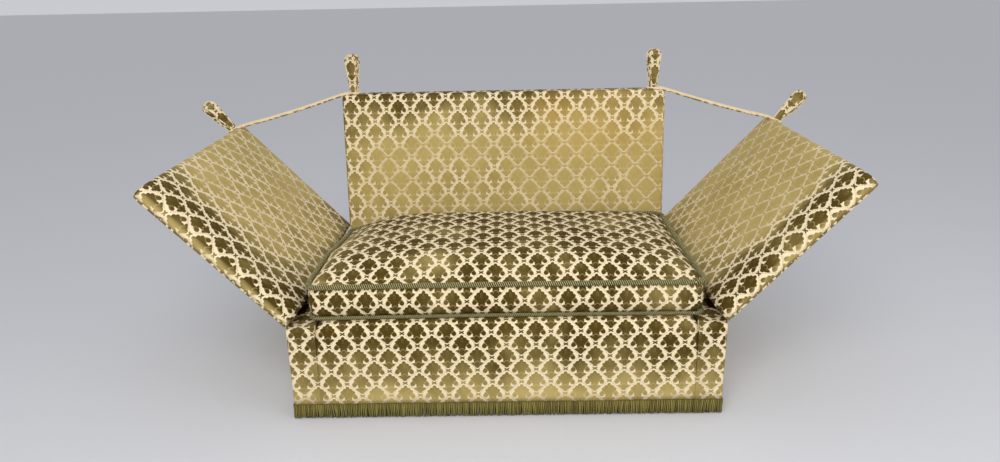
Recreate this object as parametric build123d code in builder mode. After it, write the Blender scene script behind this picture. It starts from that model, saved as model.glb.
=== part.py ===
from build123d import *
import os
from math import asin, atan2, ceil, cos, hypot, radians, sin, tan

# Knole sofa with dropped arms. Millimetres, +Z up, front towards -Y, origin on the floor at the centre.

# Overall sizes
base_width = 1480.0
base_depth = 976.0
deck_height = 358.0
ledge_drop = 14.0
back_height = 982.0
back_width = 1360.0
back_foot_depth = 150.0
back_rake = 7.0
arm_height = 636.0
arm_thickness = 58.0
arm_drop = 43.0
ledge_width = 93.0

# Cloth, gaps and edges
cloth = 2.0
gap = 0.3
overrun = 20.0
cover_bottom = 52.0
soft_edge = 20.0
ledge_edge = 10.0
piping_radius = 4.5
trim_sides = 8
cord_sides = 12

# Timber
board_thickness = 30.0
rail_height = 110.0
rail_drop = 24.3
post_size = 56.0
tacking_width = 25.0
tacking_height = 40.0
bearer_width = 28.0
bearer_height = 70.0
bearer_spacing = 460.0
brace_leg = 80.0
brace_reach = 26.0
glide_radius = 18.0
glide_height = 10.0
glide_edge = 3.0

# Webbing and seat platform
webbing_width = 50.0
webbing_thickness = 1.6
lengthwise_strips = 9
lengthwise_spacing = 130.0
crosswise_strips = 6
crosswise_spacing = 130.0
crosswise_grip = 50.0
platform_skirt = 34.0

# Front border
border_pad = 20.0
border_lip = 32.0
border_corner = 42.0
border_top_depth = 110.0
seam_gap = 2.0
slit_depth = 190.0

# Back frame
stile_width = 50.0
stile_depth = 50.0
stile_inset = 33.0
stile_overlap = 80.0
top_stuffing = 32.0
back_rail_height = 60.0
back_rail_thickness = 28.0
lower_rail_rise = 72.0
muntin_width = 44.0
back_strips = 8
back_strip_spacing = 150.0

# Arm frame
arm_frame_thickness = 26.0
arm_stuffing = 14.0
arm_stile_width = 70.0
arm_rail_height = 70.0

# Hinges
hinge_length = 80.0
hinge_width = 40.0
hinge_leaf = 2.0
hinge_places = (160.0, 816.0)
knuckle_radius = 4.5
knuckle_count = 3
knuckle_gap = 0.4
pin_radius = 2.4
pin_clearance = 0.05
pin_offset = 5.0

# Finials
finial_height = 165.0
finial_base_width = 30.0
finial_top_width = 58.0
finial_thickness = 30.0
finial_piping_radius = 2.8
finial_from_side = 50.0
finial_from_rear = 38.0
dowel_radius = 8.0
dowel_grip = 28.0

# Seat cushion
cushion_overhang = 15.0
cushion_front = 38.0
cushion_rear_gap = 10.0
cushion_corner = 46.0
cushion_draw_in = 7.0
bottom_cord_radius = 7.5
top_cord_radius = 9.0
top_cord_seat = 0.8
border_height = 113.0
cushion_crown = 64.0
border_bulge = 12.0

# Fringe
fringe_thickness = 4.0
fringe_header = 18.0
fringe_lap = 4.0
fringe_length = 34.0
fringe_uneven = 4.0
strand_width = 9.0
strand_pitch = 16.2

# Rope loops
rope_radius = 4.5
rope_rise = 12.0
rope_sag = 9.0
rope_join_gap = 1.0
rope_tangent_share = 0.45
rope_edge_turn = 17.0

# Derived planes and heights
half_width = base_width / 2
front_y = -base_depth / 2
rear_y = base_depth / 2
half_back = back_width / 2
ledge_height = deck_height - ledge_drop
seat_depth = base_depth - back_foot_depth
lining = cloth + gap
frame_x = half_width - lining
frame_front_y = front_y + lining
frame_rear_y = rear_y - lining
rail_top = ledge_height - rail_drop
rail_bottom = rail_top - rail_height
post_inner_x = frame_x - post_size
border_frame_y = front_y + lining + border_pad
border_x = half_width - ledge_width - seam_gap
ledge_x = half_width - ledge_width
cushion_width = 2 * (ledge_x + cushion_overhang)
webbing_top = rail_top + webbing_thickness
tacking_bottom = cover_bottom + lining
tacking_top = tacking_bottom + tacking_height
piping_space = 2 * piping_radius + gap
trim_turn = 180 / trim_sides
piping_groove = piping_space - lining
piping_top = ledge_height - ledge_edge - piping_radius
stile_outer_x = half_back - stile_inset
stile_inner_x = stile_outer_x - stile_width
stile_top = back_height - top_stuffing
stile_foot = rail_bottom - stile_overlap
lower_rail_height = deck_height + lower_rail_rise
stile_front_y = frame_rear_y - stile_depth
pin_x = half_width + pin_offset
pin_z = ledge_height + hinge_leaf + gap / 2
arm_bottom = hinge_leaf + gap / 2
arm_top = arm_bottom + arm_height
arm_outer = -pin_offset
arm_inner = arm_outer - arm_thickness
arm_frame_outer = arm_outer - 2 * piping_radius + lining
arm_frame_inner = arm_frame_outer - arm_frame_thickness
arm_edge = lining + arm_stuffing


def back_face_y(height, inset=0.0):
    """Depth of the raked front face of the back at a height, moved in by an inset."""
    rake = radians(back_rake)
    return front_y + seat_depth + (height - deck_height) * tan(rake) + inset / cos(rake)


def board(x_span, y_span, z_span, mode=Mode.ADD):
    """A square-edged board between two limits on each axis, placed in the open part."""
    spans = (x_span, y_span, z_span)
    with Locations(tuple((low + high) / 2 for low, high in spans)):
        Box(*(high - low for low, high in spans), mode=mode)


def save(piece, node):
    """Label one finished piece and write it under its node's name."""
    piece.label = node
    export_step(piece, f"parts/{node}.step")


def save_pair(piece, node):
    """Write a right-hand piece and its mirror image for the left side."""
    with BuildPart() as mirrored:
        mirror(piece, about=Plane.YZ)
    save(piece, f"right_{node}")
    save(mirrored.part, f"left_{node}")


os.makedirs("parts", exist_ok=True)

# Base frame
with BuildPart() as corner_posts:
    with BuildSketch(Plane.XY.offset(glide_height)):
        for x in (-frame_x + post_size / 2, frame_x - post_size / 2):
            with Locations((x, frame_front_y + post_size / 2), (x, frame_rear_y - post_size / 2)):
                Rectangle(post_size, post_size)
        for x in (-frame_x, frame_x):
            with Locations((x, frame_front_y), (x, frame_rear_y)):
                Rectangle(2 * piping_groove, 2 * piping_groove, mode=Mode.SUBTRACT)
    extrude(amount=rail_top - glide_height)

with BuildPart() as floor_glides:
    with BuildSketch():
        for x in (-frame_x + post_size / 2, frame_x - post_size / 2):
            with Locations((x, frame_front_y + post_size / 2), (x, frame_rear_y - post_size / 2)):
                Circle(glide_radius)
    extrude(amount=glide_height)
    chamfer(floor_glides.faces().sort_by(Axis.Z)[:4].edges(), length=glide_edge)

with BuildPart() as front_rail:
    board(
        (-post_inner_x, post_inner_x),
        (border_frame_y, border_frame_y + board_thickness),
        (rail_bottom, rail_top),
    )

with BuildPart() as rear_rail:
    board(
        (-post_inner_x, post_inner_x),
        (frame_rear_y - board_thickness, frame_rear_y),
        (rail_bottom, rail_top),
    )

with BuildPart() as side_rails:
    for inner, outer in ((frame_x - board_thickness, frame_x), (-frame_x, board_thickness - frame_x)):
        board(
            (inner, outer),
            (frame_front_y + post_size, frame_rear_y - post_size),
            (rail_bottom, rail_top),
        )

with BuildPart() as ledge_boards:
    for inner, outer in ((ledge_x + lining, frame_x), (-frame_x, -ledge_x - lining)):
        board((inner, outer), (frame_front_y, frame_rear_y), (rail_top, ledge_height - lining))
    fillet(ledge_boards.faces().group_by(Axis.Z)[-1].edges(), radius=ledge_edge - lining)
    with BuildSketch(Plane.XY.offset(rail_top)):
        for x in (-frame_x, frame_x):
            with Locations((x, frame_front_y), (x, frame_rear_y)):
                Rectangle(2 * piping_groove, 2 * piping_groove)
    extrude(amount=piping_top + gap - rail_top, mode=Mode.SUBTRACT)

with BuildPart() as tacking_rails:
    rail_z = (tacking_bottom, tacking_top)
    for low, high in (
        (border_frame_y, border_frame_y + tacking_width),
        (frame_rear_y - tacking_width, frame_rear_y),
    ):
        board((-post_inner_x, post_inner_x), (low, high), rail_z)
    for low, high in ((frame_x - tacking_width, frame_x), (-frame_x, tacking_width - frame_x)):
        board((low, high), (frame_front_y + post_size, frame_rear_y - post_size), rail_z)

with BuildPart() as seat_bearers:
    bearer_top = rail_top - board_thickness
    for x in (-bearer_spacing / 2, bearer_spacing / 2):
        board(
            (x - bearer_width / 2, x + bearer_width / 2),
            (border_frame_y + board_thickness, frame_rear_y - board_thickness),
            (bearer_top - bearer_height, bearer_top),
        )

# Each brace fits the corner between a rail, a post and a side rail.
with BuildPart() as corner_braces:
    side_inner_x = frame_x - board_thickness
    front_back_y = border_frame_y + board_thickness
    rear_inner_y = frame_rear_y - board_thickness
    post_front_y = frame_front_y + post_size
    post_rear_y = frame_rear_y - post_size
    with BuildSketch(Plane.XY.offset(rail_bottom + board_thickness)) as brace_plan:
        for rail_y, post_y, far_y in (
            (front_back_y, post_front_y, post_front_y + brace_leg),
            (rear_inner_y, post_rear_y, post_rear_y - brace_leg),
        ):
            with BuildLine():
                Polyline(
                    (post_inner_x - brace_reach, rail_y),
                    (post_inner_x, rail_y),
                    (post_inner_x, post_y),
                    (side_inner_x, post_y),
                    (side_inner_x, far_y),
                    close=True,
                )
            make_face()
        mirror(about=Plane.YZ)
    extrude(amount=bearer_height)

# Webbing and seat platform
with BuildPart() as webbing_crosswise:
    with BuildSketch(Plane.XY.offset(rail_top - webbing_thickness)):
        with GridLocations(0, crosswise_spacing, 1, crosswise_strips):
            Rectangle(2 * (ledge_x + lining + crosswise_grip), webbing_width)
    extrude(amount=webbing_thickness)

with BuildPart() as webbing_lengthwise:
    strip_front_y = border_frame_y + cloth
    strip_rear_y = frame_rear_y - cloth
    with BuildSketch(Plane.XY.offset(rail_top)):
        with Locations((0, (strip_front_y + strip_rear_y) / 2)):
            with GridLocations(lengthwise_spacing, 0, lengthwise_strips, 1):
                Rectangle(webbing_width, strip_rear_y - strip_front_y)
    extrude(amount=webbing_thickness)

platform_front_y = front_y + border_top_depth + gap
platform_rear_y = back_face_y(ledge_height) - gap
platform_x = ledge_x - gap

with BuildPart() as platform_pad:
    board(
        (lining - platform_x, platform_x - lining),
        (platform_front_y, platform_rear_y),
        (webbing_top + gap, deck_height - lining),
    )

with BuildPart() as platform_cloth:
    board(
        (-platform_x, platform_x),
        (platform_front_y, platform_rear_y),
        (deck_height - platform_skirt, deck_height),
    )
    board(
        (cloth - platform_x, platform_x - cloth),
        (platform_front_y - overrun, platform_rear_y + overrun),
        (deck_height - platform_skirt - overrun, deck_height - cloth),
        mode=Mode.SUBTRACT,
    )

with BuildPart() as dust_cover:
    dust_top = tacking_bottom - gap
    board((-frame_x, frame_x), (border_frame_y, frame_rear_y), (dust_top - cloth, dust_top))
    with BuildSketch(Plane.XY.offset(dust_top - cloth)):
        for x in (-frame_x, frame_x):
            with Locations((x, frame_front_y), (x, frame_rear_y)):
                Rectangle(2 * (post_size + gap), 2 * (post_size + gap))
    extrude(amount=cloth, mode=Mode.SUBTRACT)


def front_border(inset):
    """The front border's volume: rolled lip in side view, rounded upper corners in front view."""
    low_y = front_y + inset
    high_z = deck_height - inset
    lip = border_lip - inset
    with BuildPart() as form:
        with BuildSketch(Plane.YZ) as side_view:
            with BuildLine():
                Polyline(
                    (low_y + lip, high_z),
                    (front_y + border_top_depth, high_z),
                    (front_y + border_top_depth, cover_bottom),
                    (low_y, cover_bottom),
                    (low_y, high_z - lip),
                )
                RadiusArc((low_y, high_z - lip), (low_y + lip, high_z), lip)
            make_face()
        extrude(amount=border_x - inset, both=True)
        with BuildSketch(Plane.XZ.offset(-front_y - border_top_depth)) as front_view:
            with Locations((0, (high_z + cover_bottom) / 2)):
                Rectangle(2 * (border_x - inset), high_z - cover_bottom)
            fillet(front_view.vertices().group_by(Axis.Y)[-1], radius=border_corner - inset)
        extrude(amount=border_top_depth, mode=Mode.INTERSECT)
    return form.part


with BuildPart() as front_border_cover:
    add(front_border(0.0))
    add(front_border(cloth), mode=Mode.SUBTRACT)
    board(
        (-half_width, half_width),
        (border_frame_y - gap, front_y + border_top_depth),
        (cover_bottom - overrun, webbing_top + gap),
        mode=Mode.SUBTRACT,
    )

with BuildPart() as front_border_pad:
    add(front_border(lining))
    board(
        (-half_width, half_width),
        (border_frame_y - gap, front_y + border_top_depth),
        (cover_bottom - overrun, webbing_top + gap),
        mode=Mode.SUBTRACT,
    )
    board(
        (-half_width, half_width),
        (front_y, border_frame_y),
        (cover_bottom - overrun, tacking_bottom),
        mode=Mode.SUBTRACT,
    )


def side_section(inset):
    """The ledge box beside the seat: rounded along its upper edges, open below and behind."""
    with BuildPart() as form:
        board(
            (ledge_x + inset, half_width - inset),
            (front_y + inset, frame_rear_y),
            (cover_bottom - inset, ledge_height - inset),
        )
        top = form.faces().sort_by(Axis.Z)[-1]
        rounded = [edge for edge in top.edges() if edge.center().Y < frame_rear_y - gap]
        fillet(rounded, radius=ledge_edge - inset)
    return form.part


with BuildPart() as right_side_cover:
    add(side_section(0.0))
    add(side_section(cloth), mode=Mode.SUBTRACT)
    for low, high in (
        (front_y, front_y + piping_space),
        (rear_y - piping_space, frame_rear_y + overrun),
    ):
        board(
            (half_width - piping_space, half_width),
            (low, high),
            (cover_bottom - overrun, piping_top + gap),
            mode=Mode.SUBTRACT,
        )
    board(
        (ledge_x, ledge_x + cloth),
        (border_frame_y - gap, frame_rear_y + overrun),
        (cover_bottom - overrun, webbing_top + gap),
        mode=Mode.SUBTRACT,
    )
    board(
        (ledge_x, ledge_x + cloth),
        (front_y + cloth, border_frame_y),
        (cover_bottom - overrun, ledge_height - slit_depth),
        mode=Mode.SUBTRACT,
    )

with BuildPart() as base_piping:
    with BuildSketch(Plane.XY.offset(cover_bottom)):
        for x in (piping_radius - half_width, half_width - piping_radius):
            with Locations((x, front_y + piping_radius), (x, rear_y - piping_radius)):
                RegularPolygon(piping_radius, trim_sides, rotation=trim_turn)
    extrude(amount=piping_top - cover_bottom)

# Fringe: a header with hanging strands of uneven length, cut as one comb.
header_top = cover_bottom + fringe_lap
header_bottom = header_top - fringe_header


def fringe(plane, run):
    """One run of fringe lying outwards from a plane whose X runs along the header."""
    count = ceil(run / strand_pitch)
    pitch = run / count
    with BuildPart() as comb:
        with BuildSketch(plane):
            with Locations((0, (header_top + header_bottom) / 2)):
                Rectangle(run, fringe_header)
            for index in range(count):
                short = fringe_uneven * (1 + sin(index * index + index)) / 2
                length = fringe_length - short
                with Locations(((index + 1 / 2) * pitch - run / 2, header_bottom - length / 2)):
                    Rectangle(strand_width, length)
        extrude(amount=fringe_thickness)
    return comb.part


fringe_run = base_width + 2 * fringe_thickness
front_fringe = fringe(Plane.XZ.offset(-front_y), fringe_run)
rear_fringe = fringe(Plane((0, rear_y, 0), x_dir=(-1, 0, 0), z_dir=(0, 1, 0)), fringe_run)
side_fringe = fringe(Plane((half_width, 0, 0), x_dir=(0, 1, 0), z_dir=(1, 0, 0)), base_depth)

# Back frame: stiles halved over the rear rail, rails and muntin between them.
with BuildPart() as back_stiles:
    for inner, outer in ((stile_inner_x, stile_outer_x), (-stile_outer_x, -stile_inner_x)):
        board((inner, outer), (stile_front_y, frame_rear_y), (stile_foot, stile_top))
        board(
            (inner, outer),
            (frame_rear_y - board_thickness, frame_rear_y + overrun),
            (stile_foot - overrun, rail_top),
            mode=Mode.SUBTRACT,
        )
    with BuildSketch(Plane.XY.offset(stile_top)):
        finial_x = half_back - finial_from_side
        with Locations((-finial_x, rear_y - finial_from_rear), (finial_x, rear_y - finial_from_rear)):
            Circle(dowel_radius + pin_clearance)
    extrude(amount=-dowel_grip - gap, mode=Mode.SUBTRACT)

back_rail_y = (stile_front_y, stile_front_y + back_rail_thickness)

with BuildPart() as back_rails:
    for low in (lower_rail_height, stile_top - back_rail_height):
        board((-stile_inner_x, stile_inner_x), back_rail_y, (low, low + back_rail_height))
    board(
        (-muntin_width / 2, muntin_width / 2),
        (back_rail_y[0] + webbing_thickness, back_rail_y[1]),
        (lower_rail_height + back_rail_height, stile_top - back_rail_height),
    )

with BuildPart() as back_webbing:
    strip_height = stile_top - lower_rail_height
    with BuildSketch(Plane.XZ.offset(-stile_front_y)):
        with Locations((0, lower_rail_height + strip_height / 2)):
            with GridLocations(back_strip_spacing, 0, back_strips, 1):
                Rectangle(webbing_width, strip_height)
    extrude(amount=webbing_thickness)


def back_block(inset):
    """The stuffed back: raked face, rounded front, top and side edges, ending at its rear piping."""
    top_z = back_height - inset
    end_y = rear_y - piping_space
    with BuildPart() as form:
        with BuildSketch(Plane.YZ):
            with BuildLine():
                Polyline(
                    (back_face_y(ledge_height, inset), ledge_height),
                    (back_face_y(top_z, inset), top_z),
                    (end_y, top_z),
                    (end_y, ledge_height),
                    close=True,
                )
            make_face()
        extrude(amount=half_back - inset, both=True)
        rounded = [
            edge
            for edge in form.edges()
            if edge.center().Y < end_y - gap and edge.center().Z > ledge_height + gap
        ]
        fillet(rounded, radius=soft_edge - inset)
    return form.part


def back_dowel_holes(clearance):
    """Two holes down through the top of the back, for the finial dowels."""
    with BuildPart() as holes:
        with BuildSketch(Plane.XY.offset(stile_top - overrun)):
            for x in (-finial_x, finial_x):
                with Locations((x, rear_y - finial_from_rear)):
                    Circle(dowel_radius + clearance)
        extrude(amount=top_stuffing + 2 * overrun)
    return holes.part


with BuildPart() as inside_back_cover:
    add(back_block(0.0))
    add(back_block(cloth), mode=Mode.SUBTRACT)
    add(back_dowel_holes(gap), mode=Mode.SUBTRACT)

with BuildPart() as back_pad:
    add(back_block(lining))
    board(
        (-stile_outer_x - gap, stile_outer_x + gap),
        (stile_front_y - webbing_thickness - gap, rear_y),
        (ledge_height - overrun, stile_top + gap),
        mode=Mode.SUBTRACT,
    )
    add(back_dowel_holes(gap), mode=Mode.SUBTRACT)

with BuildPart() as outside_back_cover:
    with BuildSketch(Plane.XZ.offset(-rear_y)) as back_panel:
        upper_x = half_back - piping_space
        lower_x = half_width - piping_space
        with BuildLine():
            Polyline(
                (-lower_x, cover_bottom),
                (-lower_x, ledge_height),
                (-upper_x, ledge_height),
                (-upper_x, back_height - piping_space),
                (upper_x, back_height - piping_space),
                (upper_x, ledge_height),
                (lower_x, ledge_height),
                (lower_x, cover_bottom),
                close=True,
            )
        make_face()
        fillet(back_panel.vertices().group_by(Axis.Y)[-1], radius=soft_edge - piping_space)
    extrude(amount=cloth)

with BuildPart() as back_piping:
    edge_x = half_back - piping_radius
    edge_z = back_height - piping_radius
    with BuildLine(Plane.XZ.offset(piping_radius - rear_y)) as back_edge:
        FilletPolyline(
            (-edge_x, ledge_height),
            (-edge_x, edge_z),
            (edge_x, edge_z),
            (edge_x, ledge_height),
            radius=soft_edge - piping_radius,
        )
    with BuildSketch(Plane(origin=back_edge.line @ 0, z_dir=back_edge.line % 0)):
        RegularPolygon(piping_radius, trim_sides, rotation=trim_turn)
    sweep()

# Finials: a boxed paddle on straight tapering sides and a round top.
top_radius = finial_top_width / 2
top_centre = finial_height - top_radius
base_half = finial_base_width / 2
side_run = hypot(base_half, top_centre)
side_angle = atan2(top_centre, -base_half) - asin(top_radius / side_run)
side_slope = cos(side_angle) / sin(side_angle)
finial_step = 2 * finial_piping_radius + gap / 2
band_half = finial_thickness / 2 - finial_step
panel_half = finial_thickness / 2 - gap


def paddle_points(inset, foot=0.0):
    """Foot corner, start of the round top and crown of the paddle, drawn in by an inset."""
    radius = top_radius - inset
    shoulder = (radius * sin(side_angle), top_centre - radius * cos(side_angle))
    corner = (shoulder[0] - (shoulder[1] - foot) * side_slope, foot)
    return corner, shoulder, (0, top_centre + radius)


def paddle_edge(inset, foot=0.0, plane=Plane.XY):
    """The paddle's side and top edge as one open line, from the left foot to the right foot."""
    corner, shoulder, crown = paddle_points(inset, foot)
    with BuildLine(plane) as edge:
        Line((-corner[0], foot), (-shoulder[0], shoulder[1]))
        ThreePointArc((-shoulder[0], shoulder[1]), crown, shoulder)
        Line(shoulder, corner)
    return edge.line


def paddle_form(plane, inset):
    """The boxed paddle: a wide band and narrower faces, with a rebate for the piping between."""
    with BuildPart() as form:
        for side_inset, half in ((inset, band_half - inset), (inset + finial_step, panel_half - inset)):
            with BuildSketch(plane):
                with BuildLine():
                    add(paddle_edge(side_inset))
                    corner = paddle_points(side_inset)[0]
                    Line(corner, (-corner[0], 0))
                make_face()
            extrude(amount=half, both=True)
    return form.part


def finial_core(plane, stuffing):
    """Wooden paddle on a dowel that reaches through the stuffing into the frame."""
    with BuildPart() as core:
        add(paddle_form(plane, lining))
        foot = Plane(plane.origin, x_dir=plane.x_dir, z_dir=-plane.y_dir)
        with BuildSketch(foot):
            Circle(dowel_radius)
        extrude(amount=stuffing + dowel_grip)
    return core.part


def finial_cover(plane):
    """Velvet cover of the paddle, open at its foot."""
    with BuildPart() as cover:
        add(paddle_form(plane, 0.0))
        add(paddle_form(plane, cloth), mode=Mode.SUBTRACT)
    return cover.part


def finial_piping(plane, side):
    """Piping round one face of the paddle."""
    face_plane = plane.offset(side * (finial_thickness / 2 - finial_piping_radius))
    edge = paddle_edge(finial_piping_radius, finial_piping_radius * side_slope + gap, face_plane)
    with BuildPart() as piping:
        with BuildSketch(Plane(origin=edge @ 0, x_dir=face_plane.z_dir, z_dir=edge % 0)):
            RegularPolygon(finial_piping_radius, trim_sides, rotation=trim_turn)
        sweep(path=edge)
    return piping.part


right_finial_plane = Plane(
    (finial_x, rear_y - finial_from_rear, back_height), x_dir=(1, 0, 0), z_dir=(0, -1, 0)
)
left_finial_plane = Plane(
    (-finial_x, rear_y - finial_from_rear, back_height), x_dir=(1, 0, 0), z_dir=(0, -1, 0)
)

with BuildPart() as back_finial_cores:
    for place in (left_finial_plane, right_finial_plane):
        add(finial_core(place, top_stuffing))

with BuildPart() as back_finial_covers:
    for place in (left_finial_plane, right_finial_plane):
        add(finial_cover(place))

with BuildPart() as back_finial_piping:
    for place in (left_finial_plane, right_finial_plane):
        for side in (-1, 1):
            add(finial_piping(place, side))

# Right arm, in its own plane: X from front to rear, Y up the arm from the hinge pin, Z outwards.
drop = radians(arm_drop)
arm_plane = Plane((pin_x, front_y, pin_z), x_dir=(0, 1, 0), z_dir=(cos(drop), 0, -sin(drop)))


def arm_board(depth_span, rise_span, out_span, mode=Mode.ADD):
    """A square-edged block in the arm's own plane, between two limits each way."""
    spans = (depth_span, rise_span, out_span)
    centre = arm_plane.from_local_coords(tuple((low + high) / 2 for low, high in spans))
    with Locations(Location(Plane(centre, x_dir=arm_plane.x_dir, z_dir=arm_plane.z_dir))):
        Box(*(high - low for low, high in spans), mode=mode)


def arm_block(inset):
    """The stuffed arm: rounded front, top, rear and inner edges, ending at its outer piping."""
    with BuildPart() as form:
        with BuildSketch(arm_plane.offset(arm_inner + inset)) as outline:
            with Locations((base_depth / 2, (arm_bottom + arm_top) / 2)):
                Rectangle(base_depth - 2 * inset, arm_height - 2 * inset)
            fillet(outline.vertices().group_by(Axis.Y)[-1], radius=soft_edge - inset)
        extrude(amount=arm_outer - piping_space - arm_inner - inset)
        inner_edges = form.faces().sort_by(Axis(arm_plane.origin, arm_plane.z_dir))[0].edges()
        fillet(
            [edge for edge in inner_edges if arm_plane.to_local_coords(edge.center()).Y > arm_top / 4],
            radius=soft_edge - inset - gap,
        )
    return form.part


arm_finial_plane = Plane(
    arm_plane.from_local_coords(
        (base_depth - finial_from_rear, arm_top, (arm_outer - piping_space + arm_inner + soft_edge) / 2)
    ),
    x_dir=(0, 1, 0),
    z_dir=arm_plane.z_dir,
)


def arm_dowel_hole(clearance):
    """A hole down the arm from its top edge, for the finial dowel."""
    with BuildPart() as hole:
        with BuildSketch(Plane(arm_finial_plane.origin, z_dir=-arm_finial_plane.y_dir)):
            Circle(dowel_radius + clearance)
        extrude(amount=arm_edge + dowel_grip + gap)
    return hole.part


with BuildPart() as right_arm_frame:
    board_span = (arm_frame_inner, arm_frame_outer)
    low_b = arm_bottom + lining
    high_b = arm_top - arm_edge
    for start in (arm_edge, base_depth - arm_edge - arm_stile_width):
        arm_board((start, start + arm_stile_width), (low_b, high_b), board_span)
    rail_run = (arm_edge + arm_stile_width, base_depth - arm_edge - arm_stile_width)
    for start in (low_b, (low_b + high_b - arm_rail_height) / 2, high_b - arm_rail_height):
        arm_board(rail_run, (start, start + arm_rail_height), board_span)
    add(arm_dowel_hole(pin_clearance), mode=Mode.SUBTRACT)

with BuildPart() as right_arm_inside_cover:
    add(arm_block(0.0))
    add(arm_block(cloth), mode=Mode.SUBTRACT)
    add(arm_dowel_hole(gap), mode=Mode.SUBTRACT)

with BuildPart() as right_arm_pad:
    add(arm_block(lining))
    arm_board(
        (arm_edge - gap, base_depth - arm_edge + gap),
        (arm_bottom, arm_top - arm_edge + gap),
        (arm_frame_inner - gap, arm_outer + overrun),
        mode=Mode.SUBTRACT,
    )
    add(arm_dowel_hole(gap), mode=Mode.SUBTRACT)

with BuildPart() as right_arm_outside_cover:
    with BuildSketch(arm_plane.offset(arm_frame_outer + gap)) as arm_panel:
        with Locations((base_depth / 2, (arm_bottom + arm_top - piping_space) / 2)):
            Rectangle(base_depth - 2 * piping_space, arm_height - piping_space)
        fillet(arm_panel.vertices().group_by(Axis.Y)[-1], radius=soft_edge - piping_space)
    extrude(amount=cloth)

with BuildPart() as right_arm_piping:
    with BuildLine(arm_plane.offset(arm_outer - piping_radius)) as arm_edge_line:
        FilletPolyline(
            (piping_radius, arm_bottom),
            (piping_radius, arm_top - piping_radius),
            (base_depth - piping_radius, arm_top - piping_radius),
            (base_depth - piping_radius, arm_bottom),
            radius=soft_edge - piping_radius,
        )
    with BuildSketch(
        Plane(
            origin=arm_edge_line.line @ 0, x_dir=arm_plane.z_dir, z_dir=arm_edge_line.line % 0
        )
    ):
        RegularPolygon(piping_radius, trim_sides, rotation=trim_turn)
    sweep()

with BuildPart() as right_arm_finial_piping:
    for side in (-1, 1):
        add(finial_piping(arm_finial_plane, side))


# Butt hinges: knuckles take turns along the pin, the leaves lie in the seam under the arm.
def hinge_leaves(angle, first, side):
    """Right-hand leaves at an angle about the pin, with every second knuckle from the first."""
    turn = radians(angle)
    pitch = hinge_length / knuckle_count
    plate = (gap + hinge_leaf) / 2
    with BuildPart() as leaves:
        for place in hinge_places:
            spans = [(place - hinge_length / 2, place + hinge_length / 2, False)]
            for index in range(first, knuckle_count, 2):
                start = place - hinge_length / 2 + index * pitch
                spans.append((start + knuckle_gap / 2, start + pitch - knuckle_gap / 2, True))
            for low, high, has_knuckle in spans:
                section = Plane(
                    (pin_x, front_y + high, pin_z), x_dir=(cos(turn), 0, -sin(turn)), z_dir=(0, -1, 0)
                )
                near = pin_radius + knuckle_gap if has_knuckle else knuckle_radius + knuckle_gap
                with BuildSketch(section):
                    with Locations((-(near + hinge_width) / 2, side * plate)):
                        Rectangle(hinge_width - near, hinge_leaf)
                    if has_knuckle:
                        Circle(knuckle_radius)
                        Circle(pin_radius + pin_clearance, mode=Mode.SUBTRACT)
                extrude(amount=high - low)
    return leaves.part


with BuildPart() as hinge_fixed_leaves:
    right_fixed_leaves = hinge_leaves(0.0, 0, -1)
    add(right_fixed_leaves)
    mirror(right_fixed_leaves, about=Plane.YZ)

with BuildPart() as hinge_pins:
    for place in hinge_places:
        with BuildSketch(Plane.XZ.offset(hinge_length / 2 - front_y - place)):
            with Locations((-pin_x, pin_z), (pin_x, pin_z)):
                Circle(pin_radius)
        extrude(amount=-hinge_length)

# Seat cushion: drawn-in sides, a bulging border between the cords and a crowned top.
cushion_front_y = front_y + cushion_front
cushion_rear_y = back_face_y(deck_height) - cushion_rear_gap
cushion_mid_y = (cushion_front_y + cushion_rear_y) / 2
cushion_base = deck_height + gap
bottom_cord_z = cushion_base + bottom_cord_radius + gap
top_cord_z = bottom_cord_z + border_height
crown_inset_shares = (0.0, 0.07, 0.2, 0.42, 0.74)
crown_rise_shares = (0.0, 0.36, 0.7, 0.93, 1.0)


def cushion_outline(height, inset):
    """The cushion's plan at a height: four drawn-in sides and rounded corners."""
    x = cushion_width / 2 - inset
    y = (cushion_rear_y - cushion_front_y) / 2 - inset
    hollow = cushion_draw_in * x / (cushion_width / 2)
    corner = cushion_corner * (1 - inset / cushion_width)
    with BuildSketch(Plane((0, cushion_mid_y, height))) as plan:
        with BuildLine():
            ThreePointArc((x, -y), (x - hollow, 0), (x, y))
            ThreePointArc((x, y), (0, y - hollow), (-x, y))
            ThreePointArc((-x, y), (hollow - x, 0), (-x, -y))
            ThreePointArc((-x, -y), (0, hollow - y), (x, -y))
        make_face()
        fillet(plan.vertices(), radius=corner)
    return plan.sketch


def cushion_form(inset, faceted=False):
    """The filled cushion: border with seams drawn in at the cords, then the crown."""
    bulge_low = bottom_cord_z + bottom_cord_radius + border_bulge
    bulge_high = top_cord_z - top_cord_radius - border_bulge
    base_z = cushion_base + inset
    reach = (cushion_rear_y - cushion_front_y) / 2
    with BuildPart() as form:
        for height, draw in (
            (base_z, 2 * border_bulge),
            (bottom_cord_z + inset, border_bulge),
            (bulge_low, 0.0),
            (bulge_high, 0.0),
            (top_cord_z - inset / 2, border_bulge),
        ):
            add(cushion_outline(height, draw + inset))
        loft(ruled=True)
        for inset_share, rise_share in zip(crown_inset_shares, crown_rise_shares):
            height = top_cord_z - inset / 2 + (cushion_crown - inset / 2) * rise_share
            add(cushion_outline(height, border_bulge + inset + reach * inset_share))
        loft(ruled=faceted)
    return form.part


with BuildPart() as seat_cushion_cover:
    add(cushion_form(0.0))
    add(cushion_form(cloth), mode=Mode.SUBTRACT)

with BuildPart() as seat_cushion_filling:
    add(cushion_form(lining, faceted=True))


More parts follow.
